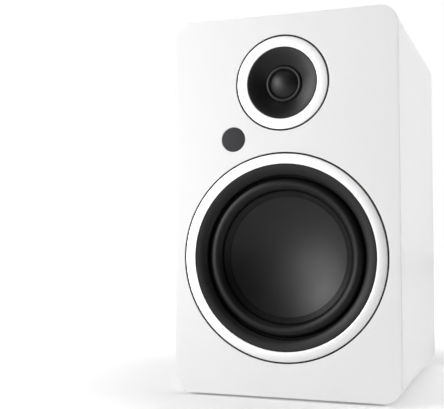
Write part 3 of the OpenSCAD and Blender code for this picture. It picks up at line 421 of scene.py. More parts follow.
# %% [markdown]
# ## Rubber, plastic and cloth
# Moulded plastic takes the grain of its mould, a fine noise a few hundredths of a millimetre
# deep. Rubber is duller, and its gloss is patchy. Woven cloth is two waves at right angles.

# %% Plastics, rubber, cloth and the rest
def moulded(name, colour, roughness, size=0.35, depth=0.012, spread=0.08, **constants):
    """Plastic with the grain of its mould: noise of `size` mm as bump, and clouds in the gloss."""
    plastic = Finish(name, colour, roughness, **constants)
    skin = plastic.grain(size, 2.0)
    clouds = plastic.grain(14.0, 3.0)
    plastic.feed("Normal", plastic.relief(skin, depth))
    plastic.feed("Roughness", roughness - 0.04 + 0.08 * clouds)
    plastic.feed("Base Color", plastic.shades(0.5 * skin + 0.5 * clouds, spread))
    return plastic


def woven(name, colour, roughness, pitch, depth, spread=0.3, **constants):
    """Cloth: sine waves along X and Z, `pitch` mm apart, added, as height and as shade."""
    cloth = Finish(name, colour, roughness, **constants)
    waves = [cloth.add("ShaderNodeTexWave", {"wave_type": "BANDS", "bands_direction": axis},
                       {"Vector": cloth.place(), "Scale": 0.314 / (pitch * MM), "Distortion": 0.4},
                       output="Fac") for axis in "XZ"]
    weave = 0.5 * waves[0] + 0.5 * waves[1]
    cloth.feed("Normal", cloth.relief(weave, depth))
    cloth.feed("Base Color", cloth.shades(weave, spread))
    cloth.feed("Roughness", roughness + 0.08 * weave)
    return cloth


# name, colour and roughness, then the size and depth of its grain and its spread
MOULDED = {
    "foot_rubber": ("foot_rubber", (0.03, 0.03, 0.032), 0.75, 0.4, 0.03),
    "black_plastic": ("black_moulding", (0.014, 0.014, 0.015), 0.4),
    "phenolic": ("phenolic_strip", (0.30, 0.17, 0.08), 0.55, 0.6, 0.02, 0.2),
    "transformer": ("transformer_tape", (0.62, 0.42, 0.06), 0.45, 2.0, 0.05, 0.15),
    "capacitor": ("capacitor_sleeve", (0.02, 0.028, 0.055), 0.28, 1.0, 0.006),
    "wire": ("wire_insulation", (0.35, 0.02, 0.02), 0.38, 1.0, 0.01),
    "ferrite": ("ground_ferrite", (0.035, 0.035, 0.038), 0.62, 0.25, 0.03, 0.25),
    "wadding": ("polyester_wadding", (0.72, 0.71, 0.68), 0.95, 0.9, 0.6, 0.12)}
for slot, look in MOULDED.items():
    keep(slot, moulded(*look))
# the same, with the strength of the mirror reflection instead of a spread
SHEEN = {
    "black_rubber": ("matt_black_rubber", (0.005, 0.005, 0.0053), 0.45, 0.5, 0.01, 0.35),
    "surround_rubber": ("surround_rubber", (0.004, 0.004, 0.0042), 0.42, 0.6, 0.008, 0.3),
    "cone": ("pressed_cone", (0.003, 0.003, 0.0031), 0.44, 0.5, 0.004, 0.5),
    "smoked_lens": ("smoked_window", (0.04, 0.04, 0.043), 0.5, 1.5, 0.002, 0.2)}
for slot, (*look, mirror) in SHEEN.items():
    keep(slot, moulded(*look, Specular_IOR_Level=mirror))
keep("red_plastic", moulded("red_post_cap", (0.55, 0.015, 0.012), 0.22, 0.6, 0.004,
                            Coat_Weight=0.3))
keep("dome_silk", woven("coated_silk", (0.005, 0.005, 0.0055), 0.42, 0.35, 0.006))
keep("spider_cloth", woven("treated_linen", (0.50, 0.33, 0.12), 0.8, 0.7, 0.08))
keep("coil_former", woven("wound_paper", (0.45, 0.27, 0.12), 0.6, 0.5, 0.02, 0.15))
print("finishes:", len(finishes))

# %% [markdown]
# ## Shapes from formulas
# Nearly everything on a loudspeaker is turned or swept, so two kinds of surface do most of the
# work. A *turned* surface carries a profile of radius and depth round an axis. A *framed* one
# carries a profile of inset and depth round the cabinet's rounded outline. Both are grids worked
# out as whole arrays. Real edges are never sharp, so `soften` first rounds a profile's corners.

# %% Profiles and outlines
def soften(profile, size=0.3, steps=4, closed=True):
    """Round each corner of a profile: the point p becomes the curve (1-t)^2 a + 2t(1-t) p + t^2 b,
    where a and b lie on the two edges, `size` mm or 0.4 of the edge away. Faint corners stay."""
    p = np.asarray(profile, float)
    before, after = np.roll(p, 1, 0) - p, np.roll(p, -1, 0) - p
    reach_a, reach_b = [np.maximum(np.linalg.norm(v, axis=1), 1e-9) for v in (before, after)]
    to_a, to_b = before / reach_a[:, None], after / reach_b[:, None]
    step = np.minimum(np.minimum(size, 0.4 * reach_a), 0.4 * reach_b)[:, None]
    sharp = (to_a * to_b).sum(1) > -0.94
    if not closed:
        sharp[[0, -1]] = False
    t = np.linspace(0, 1, steps + 1)[None, :, None]
    a, b = p + to_a * step, p + to_b * step
    curve = (1 - t) ** 2 * a[:, None] + 2 * t * (1 - t) * p[:, None] + t ** 2 * b[:, None]
    curve[~sharp] = p[~sharp][:, None]
    keep_it = np.ones(curve.shape[:2], bool)
    keep_it[~sharp, 1:] = False
    return curve[keep_it]


def arc(centre, radius, start, end, steps):
    """An arc: centre + radius * (cos, sin) from one angle to another, in degrees."""
    angle = np.radians(np.linspace(start, end, steps + 1))
    return np.asarray(centre) + radius * np.column_stack([np.cos(angle), np.sin(angle)])


def join(*parts):
    """Stack pieces of a profile into one array of points."""
    return np.vstack([np.asarray(part, float).reshape(-1, 2) for part in parts])


def outline(inset, radius, corner_steps=14):
    """The cabinet's rounded outline, inset mm smaller on each side: in each corner, the corner's
    centre plus radius * (cos, sin) over a quarter turn. Returns x and z in metres."""
    angle = np.linspace(0, np.pi / 2, corner_steps + 1)
    turns = np.arange(4)[:, None] * np.pi / 2 + angle[None, :]
    sign_x, sign_z = np.array([1, -1, -1, 1])[:, None], np.array([1, 1, -1, -1])[:, None]
    x = sign_x * (WIDTH / 2 - inset - radius) + radius * np.cos(turns)
    z = sign_z * (HEIGHT / 2 - inset - radius) + radius * np.sin(turns)
    return np.column_stack([cabinet[0] + x.ravel() * MM, cabinet[1] + z.ravel() * MM])


def lobed(rows, lobe, centre, sides=288):
    """Surface about the depth axis through `centre`: for each row (r, d, swing) and angle a, the
    radius is q = r - swing * lobe(a), and x = cx + q cos a, z = cz + q sin a, y = depth d."""
    r, d, swing = np.asarray(rows, float).T[..., None]
    angle = np.linspace(0, 2 * np.pi, sides, endpoint=False)
    q, d = (r - swing * lobe(angle)) * MM, np.repeat(d, sides, 1)
    return np.stack([centre[0] + q * np.cos(angle), at_depth(d), centre[1] + q * np.sin(angle)], 2)


def turned(profile, centre, sides=128):
    """Surface of revolution: the same with rows (r, d) and no swing."""
    return lobed(np.insert(profile, 2, 0.0, axis=1), np.zeros_like, centre, sides)


print("a softened square:", len(soften([[0, 0], [1, 0], [1, 1], [0, 1]])), "points")

# %% [markdown]
# ## From grids to pieces
# `make_piece` takes grids, turns each into quads, merges the doubled points where a grid meets
# itself or another, and points every face outwards. Shading is smooth, except over edges
# sharper than 32 degrees. The piece then rides on its body, hides the plain part it stands for,
# and takes the finish kept under its record slot.

# %% Grids into meshes
SHARP, BEVELLED = 32.0, 40.0


def quads(rows, columns, wrap_rows, first):
    """Corners of the quads of a grid whose columns wrap: (i, j), (i+1, j), (i+1, j+1), (i, j+1)."""
    i = np.arange(rows if wrap_rows else rows - 1)[:, None]
    j = np.arange(columns)[None, :]
    i2, j2 = (i + 1) % rows, (j + 1) % columns
    cells = np.stack([i * columns + j, i2 * columns + j, i2 * columns + j2, i * columns + j2], 2)
    return cells.reshape(-1, 4) + first


def flat_face(borders, depth):
    """A flat face at one depth, bounded by the first outline and pierced by the others."""
    y = float(at_depth(depth))
    loops = [[Vector((x, z, 0.0)) for x, z in border] for border in borders]
    corners = np.vstack(borders)
    points = np.column_stack([corners[:, 0], np.full(len(corners), y), corners[:, 1]])
    return points, np.array(tessellate_polygon(loops), int)


def ring(radius, centre, sides=128):
    """Circle in x and z, in metres, with the same angles as `turned` uses."""
    angle = np.linspace(0, 2 * np.pi, sides, endpoint=False)
    return np.column_stack([centre[0] + radius * MM * np.cos(angle),
                            centre[1] + radius * MM * np.sin(angle)])


def make_piece(name, shapes, body, slot, replaces=(), finish=None):
    """A mesh object from grids, from (grid, wraps over rows or not) and (points, triangles)."""
    points, faces, first = [], [], 0
    for shape in shapes:
        if isinstance(shape, tuple) and np.ndim(shape[1]) == 2:
            block, cells = shape
            faces += (cells + first).tolist()
        else:
            grid, wrap = shape if isinstance(shape, tuple) else (shape, True)
            block = grid.reshape(-1, 3)
            faces += quads(*grid.shape[:2], wrap, first).tolist()
        points.append(block)
        first += len(block)
    mesh = bpy.data.meshes.new(name)
    mesh.from_pydata(np.vstack(points).tolist(), [], faces)
    tidy(mesh)
    return present(name, mesh, body, slot, replaces, finish)


def tidy(mesh, melt=False):
    """Merge doubled points, turn the faces outwards, and shade smoothly below an angle."""
    form = bmesh.new()
    form.from_mesh(mesh)
    bmesh.ops.remove_doubles(form, verts=form.verts, dist=2e-6)
    bmesh.ops.dissolve_degenerate(form, edges=form.edges, dist=1e-7)
    if melt:
        bmesh.ops.dissolve_limit(form, angle_limit=math.radians(0.5), verts=form.verts,
                                 edges=form.edges)
    bmesh.ops.recalc_face_normals(form, faces=form.faces)
    form.to_mesh(mesh)
    form.free()
    mesh.shade_smooth()
    mesh.set_sharp_from_angle(angle=math.radians(SHARP))


def present(name, mesh, body, slot, replaces=(), finish=None):
    """Put a mesh in the scene with its finish, kept under its slot unless one is given, on its
    body, and hide the plain parts it stands for.
    """
    piece = bpy.data.objects.new(name, mesh)
    scene.collection.objects.link(piece)
    mesh.materials.append(finish.material if finish else finishes[slot])
    if body:
        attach(piece, body)
    if replaces:
        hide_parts(*replaces)
    open_edges = len(mesh.edges) * 2 - sum(len(p.vertices) for p in mesh.polygons)
    print(f"{name}: {len(mesh.polygons)} faces, {open_edges} open edges")
    return piece


def softened_copy(node, name, slot, width, finish=None):
    """A part's own solid with its loose triangles merged and its edges rounded by a bevel."""
    plain = frame["nodes"][node]
    mesh = bpy.data.meshes.new(name)
    mesh.from_pydata([v.co[:] for v in plain.data.vertices], [],
                     [p.vertices[:] for p in plain.data.polygons])
    tidy(mesh, melt=True)
    piece = present(name, mesh, plain["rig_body"], slot, (node,), finish)
    bevel = piece.modifiers.new("softened_edges", "BEVEL")
    bevel.width, bevel.segments = width * MM, 2
    bevel.limit_method, bevel.angle_limit = "ANGLE", math.radians(BEVELLED)
    bevel.harden_normals = True


print("makers ready")

# %% [markdown]
# ## The cabinet
# The box is wood panels wrapped with paint. The front baffle is a board of its own. Its edge
# carries a fine groove just behind the face, painted near black inside as painted shade, and
# together they draw the thin dark line round the front. The baffle's rim is one profile carried
# round the outline, and its two flat faces are filled between the outline and the round holes.

# %% Baffle and cabinet
CORNER, EDGE, FACE_INSET = 14.0, 0.45, 3.0
WALL, REAR_EDGE = 12.0, 1.4
MAGNET_X, MAGNET_Z, MAGNET_HOLE, MAGNET_SKIN = 77.0, 135.5, 5.1, 2.0
HOLE_RIM = 0.6
# centre, then mouth radius, ledge depth and radius behind the ledge
OPENINGS = ((woofer, 81.7, 6.0, 73.3), (tweeter, 37.7, 4.0, 29.0), (sensor, 9.8, 5.0, 12.7))


def framed(profile):
    """Carry (inset, depth, corner radius) round the outline: one rounded rectangle per point."""
    flat = np.array([outline(inset, radius) for inset, _, radius in profile])
    y = np.repeat(at_depth([d for _, d, _ in profile])[:, None], flat.shape[1], 1)
    return np.stack([flat[..., 0], y, flat[..., 1]], 2)


def rim(points):
    """Profile rows whose corner radius shrinks with the inset, as a parallel line's does."""
    return [(inset, depth, CORNER - inset) for inset, depth in points]


edge_line = soften([[FACE_INSET, 0], [0, 0], [0, GROOVE_START], [GROOVE_DEEP, GROOVE_START],
                    [GROOVE_DEEP, GROOVE_END], [0, GROOVE_END], [0, BAFFLE],
                    [FACE_INSET, BAFFLE]], EDGE, 6, closed=False)
grids = [(framed(rim(edge_line)), False)]
front_borders = [outline(FACE_INSET, CORNER - FACE_INSET)]
back_borders = [outline(FACE_INSET, CORNER - FACE_INSET)]
for centre, mouth, ledge, behind in OPENINGS:
    line = soften([[mouth + HOLE_RIM, 0], [mouth, 0], [mouth, ledge], [behind, ledge],
                   [behind, BAFFLE], [behind + HOLE_RIM, BAFFLE]], 0.25, 4, closed=False)
    grids.append((turned(line, centre), False))
    front_borders.append(ring(mouth + HOLE_RIM, centre))
    back_borders.append(ring(behind + HOLE_RIM, centre))
for centre in [(cabinet[0] + side * MAGNET_X * MM, cabinet[1] + end * MAGNET_Z * MM)
               for side in (-1, 1) for end in (-1, 1)]:
    pocket = [[MAGNET_HOLE, BAFFLE], [MAGNET_HOLE, MAGNET_SKIN], [0, MAGNET_SKIN]]
    grids.append((turned(pocket, centre, 32), False))
    back_borders.append(ring(MAGNET_HOLE, centre, 32))
grids += [flat_face(front_borders, 0.0), flat_face(back_borders, BAFFLE)]
make_piece("painted_baffle", grids, "speaker", "white_lacquer", ["front_baffle"])

wrap_rows = [(0, BAFFLE, CORNER)]
wrap_rows += rim(arc((REAR_EDGE, BACK - REAR_EDGE), REAR_EDGE, 180, 90, 8))
wrap_rows += [(WALL - 0.6, BACK, 2.0), (WALL - 0.3, BACK - 0.05, 1.0),
              (WALL, BACK - 0.4, 0.02), (WALL, BAFFLE, 0.02)]
make_piece("painted_cabinet", [framed(wrap_rows)], "speaker", "white_lacquer", ["cabinet_sleeve"])
softened_copy("rear_panel", "painted_back_panel", "white_lacquer", 0.35)

# %% [markdown]
# ## Rings, gaskets and the woofer
# Each driver is screwed into its recess and hidden behind a flat aluminium ring. A strip of
# black rubber fills the gap round the ring. Inside it a rounded rubber shoulder leads down to
# the surround, a half roll of soft rubber that lets the cone move. The cone is one shallow dish
# without a cap in its middle: a piece of a sphere, so its depth is
# d = rim + h - s + sqrt(s^2 - r^2), with the sphere's radius s = (R^2 + h^2) / 2h.

# %% Trim rings and gap rubber
def flat_ring(inner, outer, thick):
    """Section of a flat ring with softened edges."""
    return soften([[inner, 0], [outer, 0], [outer, thick], [inner, thick]], 0.35, 5)


for name, centre, section, sides in (("woofer", woofer, (72.6, 80.4, 2.2), 256),
                                     ("tweeter", tweeter, (28.2, 36.4, 1.6), 192)):
    make_piece(f"{name}_ring", [turned(flat_ring(*section), centre, sides)], "speaker",
               "ring_aluminium", [f"{name}_trim_ring"], ring_metal[name])
woofer_strip = soften([[80.4, 0.5], [81.7, 0.5], [81.7, 6.0], [73.3, 6.0], [73.3, 5.2],
                       [80.4, 5.2]], 0.3)
tweeter_strip = soften([[36.4, 0.5], [37.7, 0.5], [37.7, 4.0], [36.4, 4.0]], 0.3)
make_piece("gap_rubber", [turned(woofer_strip, woofer, 256), turned(tweeter_strip, tweeter, 192)],
           "speaker", "black_rubber", ["trim_ring_gaskets"])

# %% [markdown]
# ## Parts that stretch
# The surround is glued to the basket outside and to the cone inside, so when the cone moves only
# its inner edge goes along, and the surround stretches along every radius. `stretch_round` bakes
# a ring's place into its points and reads them into an array.

# %% Surround, cone and the cloth behind it
def stretch_round(piece):
    """Bake a ring's place into its mesh and read its points into an array."""
    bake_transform(piece)
    place = np.empty(len(piece.data.vertices) * 3, np.float32)
    piece.data.vertices.foreach_get("co", place)
    place = place.reshape(-1, 3)


CONE_R, CONE_DEEP, CONE_RIM = 51.7, 15.2, 10.8
DOME_R, DOME_HIGH, DOME_RIM = 11.2, 4.6, 6.5


def cap_rise(radius, rim_radius, rise):
    """Height of a piece of a sphere above its rim: h - s + sqrt(s^2 - r^2)."""
    sphere = (rim_radius ** 2 + rise ** 2) / (2 * rise)
    return rise - sphere + np.sqrt(sphere ** 2 - np.asarray(radius, float) ** 2)


def dish(radius):
    """The cone's front from its middle outwards, as (radius, rim + rise)."""
    return np.column_stack([radius, CONE_RIM + cap_rise(radius, CONE_R, CONE_DEEP)])


shoulder = np.radians(np.linspace(90, 0, 25))
shoulder_line = np.column_stack([72.5 - 8.8 * np.cos(shoulder), 0.9 + 4.4 * (1 - np.sin(shoulder))])
make_piece("woofer_shoulder", [turned(soften(join(
    shoulder_line, [[63.7, 10.0], [70.5, 10.0], [70.5, 2.2], [72.5, 2.2]]), 0.4), woofer, 256)],
    "speaker", "black_rubber", ["woofer_front_gasket"])

rim_line = dish(np.linspace(47.39, CONE_R, 6))
surround_line = soften(join(
    [[70.5, 10.8], [70.5, 10.0]], arc((57.3, 10.0), 5.6, 0, -180, 40), rim_line[:1] - [0, 0.8],
    rim_line, [[52.5, 10.8]], arc((57.3, 10.8), 4.8, -180, 0, 40)), 0.35)
surround = make_piece("roll_surround", [turned(surround_line, woofer, 256)], None,
                      "surround_rubber", ["woofer_surround"])
stretch_round(surround)

cone_front = dish(np.linspace(0, CONE_R, 60))
cone_line = join(cone_front, cone_front[::-1] + [0, 1.0])
make_piece("pressed_cone", [(turned(cone_line, woofer, 256), False)], "woofer_moving_parts",
           "cone", ["woofer_cone"])

spider_s = np.linspace(0, 1, 121)
spider_top = join([[15.35, 37.0]], np.column_stack(
    [17.35 + 22.65 * spider_s, 37.0 - 1.2 * np.sin(2 * np.pi * 5 * spider_s)]), [[44.0, 37.0]])
spider = make_piece("corrugated_spider",
                    [turned(join(spider_top, spider_top[::-1] + [0, 0.6]), woofer)],
                    None, "spider_cloth", ["woofer_spider"])
stretch_round(spider)

# %% [markdown]
# ## Leads that flex
# Two braided leads carry the current from the fixed strip to the moving cone. A lead is a tube
# swept along a smooth curve: at each point, a ring stands square to the curve's direction. One
# end stays with the basket and the other goes with the cone.

# %% Tinsel leads
def smooth_curve(points, steps=8):
    """Catmull-Rom curve through points: each stretch is a cubic of its four nearest points."""
    p = np.vstack([points[:1], points, points[-1:]]).astype(float)
    a, b, c, d = (p[i:len(p) - 3 + i, None] for i in range(4))
    t = np.linspace(0, 1, steps, endpoint=False)[None, :, None]
    curve = 0.5 * (2 * b + (c - a) * t + (2 * a - 5 * b + 4 * c - d) * t ** 2
                   + (3 * b - a - 3 * c + d) * t ** 3)
    return np.vstack([curve.reshape(-1, 3), points[-1:]])


def swept(path, radius, sides=10):
    """Closed tube: path + radius * (cos u + sin v), with u and v square to the path."""
    along = np.gradient(path, axis=0)
    along /= np.linalg.norm(along, axis=1)[:, None]
    u = np.cross(along, [0.93, 0.31, 0.17])
    u /= np.linalg.norm(u, axis=1)[:, None]
    v = np.cross(along, u)
    angle = np.linspace(0, 2 * np.pi, sides, endpoint=False)[None, :, None]
    tube = path[:, None] + radius * (np.cos(angle) * u[:, None] + np.sin(angle) * v[:, None])
    caps = [np.repeat(path[i][None, None], sides, 1) for i in (0, -1)]
    return np.vstack([caps[0], tube, caps[1]])


lead_places = np.array([[22.87, 30], [26.87, 33], [30.87, 40], [29.87, 48], [27.5, 55], [27.5, 58]])
for side in (-7.0, 7.0):
    line = np.column_stack([np.full(6, woofer[0] + side * MM), at_depth(lead_places[:, 0]),
                            woofer[1] + lead_places[:, 1] * MM])
    lead = make_piece(f"tinsel_lead_{'left' if side < 0 else 'right'}",
                      [(swept(smooth_curve(line), 0.7 * MM), False)], None, "tinsel")
    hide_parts("woofer_tinsel_leads")
    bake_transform(lead)

# %% [markdown]
# ## The tweeter and the sensor's window
# A small dome sits at the throat of a shallow horn. The horn opens faster towards its mouth, by
# d = throat - (throat - lip) * (1 - (1 - s)^1.45). The dome is coated cloth, and its surround is
# a tiny roll of the same cloth. Left below it is a smoked window for the remote control.

# %% Tweeter and window
mouth_s = np.linspace(0, 1, 33)
horn = np.column_stack([14.6 + 13.5 * mouth_s, 6.2 - 5.7 * (1 - (1 - mouth_s) ** 1.45)])
make_piece("tweeter_horn", [turned(soften(join(
    horn, [[28.1, 1.6], [36.3, 1.6], [36.3, 4.0], [24.0, 4.0], [24.0, 8.2], [14.6, 8.2]]), 0.3),
    tweeter, 192)], "speaker", "black_plastic", ["tweeter_waveguide"],
    moulded("satin_horn", (0.004, 0.004, 0.0043), 0.38, Specular_IOR_Level=0.38))
small_roll = make_piece("tweeter_roll", [turned(join(
    [[14.55, 6.8], [14.55, 6.5]], arc((12.9, 6.5), 1.6, 0, -180, 20), [[11.25, 6.5], [11.25, 6.8],
     [11.6, 6.8]], arc((12.9, 6.8), 1.3, -180, 0, 20)), tweeter, 160)], None, "dome_silk",
    ["tweeter_surround"])
stretch_round(small_roll)
dome_radii = np.linspace(0, DOME_R, 33)
dome_line = np.column_stack([dome_radii, DOME_RIM - cap_rise(dome_radii, DOME_R, DOME_HIGH)])
dome_line = join(dome_line, dome_line[::-1] + [0, 0.35])
make_piece("silk_dome", [(turned(dome_line, tweeter, 160), False)], "tweeter_moving_parts",
           "dome_silk", ["tweeter_dome"])
window_line = soften([[0, 0.2], [9.7, 0.2], [9.7, 5.0], [12.2, 5.0], [12.2, 6.5], [8.2, 6.5],
                      [8.2, 2.2], [0, 2.2]], 0.35, 4, closed=False)
make_piece("smoked_window", [(turned(window_line, sensor, 96), False)], "speaker", "smoked_lens",
           ["sensor_window"])

# %% [markdown]
# ## The feet and the floor
# Four thin rubber pads keep the box off the table. Each is turned about an upright axis, so the
# same profile maths is used with the depth and height swapped. The floor isn't part of the
# object: it is only what the pads stand on. White paper lit from one side would fade to grey, so
# the floor glows a little, more with distance from the object, and only for the camera.

# %% Feet and floor
def pad(x, depth, line, sides=64):
    """A turned pad that stands upright: x and y from the angle, and z from the profile."""
    p = np.asarray(line, float) * MM
    angle = np.linspace(0, 2 * np.pi, sides, endpoint=False)
    r, z = p[:, 0, None], np.repeat(p[:, 1, None], sides, 1)
    return np.stack([x * MM + r * np.cos(angle), at_depth(depth) + r * np.sin(angle), z], 2)


foot_line = soften([[0, 1.6], [7, 1.6], [7, 0], [3.2, 0], [2.9, 0.3], [0, 0.3]], 0.4, 4,
                   closed=False)
make_piece("rubber_pads", [(pad(x, d, foot_line), False) for x in (-62, 62) for d in (28, 198)],
           "speaker", "foot_rubber", ["rubber_feet"])

NEAR, FAR, NEAR_GLOW, FLOOR_REACH = 0.15, 0.5, 0.2, 12.0
floor_paper = Finish("white_paper", 0.86, 0.8)
away = floor_paper.vector("LENGTH", floor_paper.place(), output="Value")
glow = floor_paper.add("ShaderNodeMapRange", None, {
    "Value": away, "From Min": NEAR, "From Max": FAR, "To Min": NEAR_GLOW, "To Max": 1.0})
seen = floor_paper.add("ShaderNodeLightPath", output="Is Camera Ray")
floor_paper.feed("Emission Color", floor_paper.mix(glow * seen, (0.0, 0.0, 0.0), (1.0, 1.0, 1.0)))
floor_paper.feed("Emission Strength", 1.0)
sweep = bpy.data.meshes.new("studio_floor")
sweep.from_pydata([(x * FLOOR_REACH, y * FLOOR_REACH, 0) for x, y in
                   ((-1, -1), (1, -1), (1, 1), (-1, 1))], [], [(0, 1, 2, 3)])
sweep.materials.append(floor_paper.material)
floor = bpy.data.objects.new("studio_floor", sweep)
scene.collection.objects.link(floor)
print("floor laid")

# %% [markdown]
# ## The back
# The port is a flared tube of black plastic: both ends widen in quarter circles, so that air
# leaves it quietly. Next to it the amplifier plate carries everything that is plugged in, pressed
# or turned. Round things are turned again. A knob or a cap is turned too, with grooves cut along
# it: the radius dips where cos(n * angle) is near 1.

# %% Port
port_line = join([[35, BACK - 0.3], [34.7, BACK]], arc((32, BACK - 12), 12, 90, 180, 24),
                 arc((25, 113), 5, 180, 270, 10), arc((25, 113), 3, 270, 180, 10),
                 arc((32, BACK - 12), 10, 180, 100, 20), [[32, BACK - 2.5], [35, BACK - 2.5]])
make_piece("flared_port", [turned(port_line, port, 192)], "speaker", "black_plastic", ["port_tube"])

# %% [markdown]
# ## A printed scale
# White ticks are printed round the volume knob. A place on the plate is turned into a distance
# from the knob and a bearing. The cosine of twelve times the bearing peaks every 30 degrees, and
# a tick is where it is near its peak and the distance is between two radii. None is printed
# straight below the knob, where its travel starts and ends.

# %% Amplifier plate with its printed scale
TICK_IN, TICK_OUT, TICK_LOW = 12.4 * MM, 14.2 * MM, -11.0 * MM
plate_paint = plated("printed_amplifier_plate", (0.03, 0.03, 0.032), 0.5)
plate_paint.feed("Metallic", 0.0)
from_knob = plate_paint.mapped(Location=(-knob[0], 0.0, -knob[1]))
east, north = plate_paint.part(from_knob, "X"), plate_paint.part(from_knob, "Z")
reach = plate_paint.maths("SQRT", east * east + north * north)
beat = plate_paint.maths("COSINE", plate_paint.maths("ARCTAN2", east, north) * 12.0)
ticks = (beat > 0.9) * (reach > TICK_IN) * (TICK_OUT - reach > 0.0) * (north > TICK_LOW)
speckle = plate_paint.grain(3.0, 3.0)
plate_paint.feed("Base Color", plate_paint.mix(ticks, plate_paint.shades(speckle, 0.06),
                                               (0.7, 0.7, 0.69)))
softened_copy("amplifier_plate", "amplifier_panel", "plate_aluminium", 0.25, plate_paint)
print("scale printed round the knob")

# %% [markdown]
# ## Screws
# Every screw is one turned profile with a star recess, which is six lobes in its radius. The
# driver screws point inwards from the front and the plate's screws from the back.

# %% Screws
def dips(count, sharpness=1.0):
    """Dips round a turned shape: ((1 + cos(count * a)) / 2) ^ sharpness, 1 in a dip, 0 between."""
    return lambda angle: (0.5 * (1 + np.cos(count * angle))) ** sharpness


def outside(rows):
    """Rows whose depth counts outwards from the back, turned into depths from the front."""
    return [(row[0], BACK + row[1], *row[2:]) for row in rows]


def screw_grid(centre, face, shank, head, length, into=1.0, sides=48):
    """Countersunk screw from depth `face` inwards: star recess, face, cone, shank, point."""
    drive, star, deep = head * 0.42, head * 0.22, 0.7
    rows = [(0, deep, 0), (drive, deep, star), (drive, 0.05, star), (drive * 1.04, 0, star),
            (head - 0.15, 0, 0), (head, 0.12, 0), (head, 0.2, 0), (shank, head - shank + 0.2, 0),
            (shank, length - 2 * shank, 0), (0, length, 0)]
    return lobed([(r, face + into * d, s) for r, d, s in rows], dips(6), centre, sides)


def round_places(centre, radius, count):
    """Places round a circle: centre + radius * (cos a, -sin a), a = (i + 1/2) * 360 / count."""
    angle = (np.arange(count) + 0.5) * 2 * np.pi / count
    return [(centre[0] + radius * MM * math.cos(a), centre[1] - radius * MM * math.sin(a))
            for a in angle]


PLATE_X, PLATE_Z = 63 * MM, 75 * MM
plate_places = [(plate[0] + x * PLATE_X, plate[1] + z * PLATE_Z)
                for x in (-1, 0, 1) for z in (-1, 0, 1) if x or z]
screw_grids = [(screw_grid(p, 2.2, 1.6, 3.2, 14), False) for p in round_places(woofer, 76.6, 6)]
screw_grids += [(screw_grid(p, 1.6, 1.2, 2.3, 14), False) for p in round_places(tweeter, 32.3, 4)]
screw_grids += [(screw_grid(p, BACK, 1.5, 3.0, 10, -1.0), False) for p in plate_places]
make_piece("star_screws", screw_grids, "speaker", "screw_steel", ["screws"])

# %% [markdown]
# ## Knob, button and posts
# The volume knob is pushed and turned, so its grip has 24 grooves, and a fine line on its face
# shows which way it points. A binding post has a metal stud, a washer that clamps the wire, and
# a coloured cap with twelve flutes for the fingers.

# %% Volume knob
KNOB_R, KNOB_SLOT, KNOB_ROUND = 10.5, 0.45, 1.2
knob_rows = [(0, 13.0, 0), (2.5, 13.0, 0), (2.5, 3.0, 0), (4.0, 2.9, 0), (4.0, 1.2, 0),
             (KNOB_R - 0.5, 1.2, 0), (KNOB_R, 1.6, 0), (KNOB_R, 3.1, 0), (KNOB_R, 3.5, KNOB_SLOT),
             (KNOB_R, 14.6, KNOB_SLOT)]
knob_rows += [(9.3 + KNOB_ROUND * math.cos(a), 14.8 + KNOB_ROUND * math.sin(a),
               KNOB_SLOT * math.cos(a)) for a in np.radians(np.linspace(0, 90, 7))]
knob_rows += [(9.0, 15.98, 0), (8.7, 15.75, 0), (8.3, 15.7, 0), (0, 15.5, 0)]
LINE_HALF, LINE_START, LINE_DEPTH = 0.45 * MM, 3.6 * MM, 15
KNOB_BLACK = (0.016, 0.016, 0.017)
knob_finish = moulded("knob_moulding", KNOB_BLACK, 0.4)
across, deep, along = (knob_finish.part(knob_finish.place(), axis) for axis in "XYZ")
from_middle = knob_finish.maths("ABSOLUTE", across - float(knob[0]))
line = ((LINE_HALF - from_middle > 0.0) * (along > float(knob[1] + LINE_START))
        * (deep > float(at_depth(BACK + LINE_DEPTH))))
knob_finish.feed("Base Color", knob_finish.mix(line, KNOB_BLACK, (0.8, 0.8, 0.79)))
make_piece("grooved_knob", [(lobed(outside(knob_rows), dips(24, 3.0), knob), False)],
           "volume_control", "black_plastic", ["volume_knob"], knob_finish)

# %% Binding posts
POST_X = {"red": -26.5, "black": -45.5}
CAP_R, STUD_END, BASE_END = 7.0, -12.0, -7.0
post_z = plate[1] + 18 * MM


def post(colour):
    """Place of a binding post, as (x, z) in metres."""
    return (POST_X[colour] * MM, post_z)


def flutes(angle, count=12, cut=1.0, out=0.4):
    """Round cuts of radius `cut` whose centres lie `out` beyond the rim: the depth of the cut is
    sqrt(cut^2 - x^2) - out, where x is the way along the rim from the nearest cut."""
    step = 2 * np.pi / count
    x = CAP_R * ((angle + step / 2) % step - step / 2)
    return np.maximum(0, np.sqrt(np.maximum(0, cut ** 2 - x ** 2)) - out)


for colour in POST_X:
    centre = post(colour)
    washer_line = soften(outside([(3.05, 3.1), (6.4, 3.1), (6.4, 4.6), (3.05, 4.6)]), 0.3)
    make_piece(f"{colour}_washer", [turned(washer_line, centre, 96)], f"{colour}_post_washer",
               "socket_gold", [f"{colour}_post_washer"])
    rows = [(3.05, 20.5, 0), (3.05, 4.9, 0), (3.25, 4.7, 0), (6.7, 4.7, 0), (CAP_R, 5.0, 0),
            (CAP_R, 6.0, 0), (CAP_R, 6.3, 1), (CAP_R, 19.9, 1)]
    rows += [(CAP_R - 1.1 + 1.1 * math.cos(a), 19.9 + 1.1 * math.sin(a), math.cos(a))
             for a in np.radians(np.linspace(0, 90, 7))[1:]]
    rows += [(2.8, 21.0, 0), (2.55, 20.85, 0), (2.55, 20.5, 0)]
    make_piece(f"{colour}_fluted_cap", [lobed(outside(rows), flutes, centre)],
               f"{colour}_post_cap", f"{colour}_plastic", [f"{colour}_post_cap"])
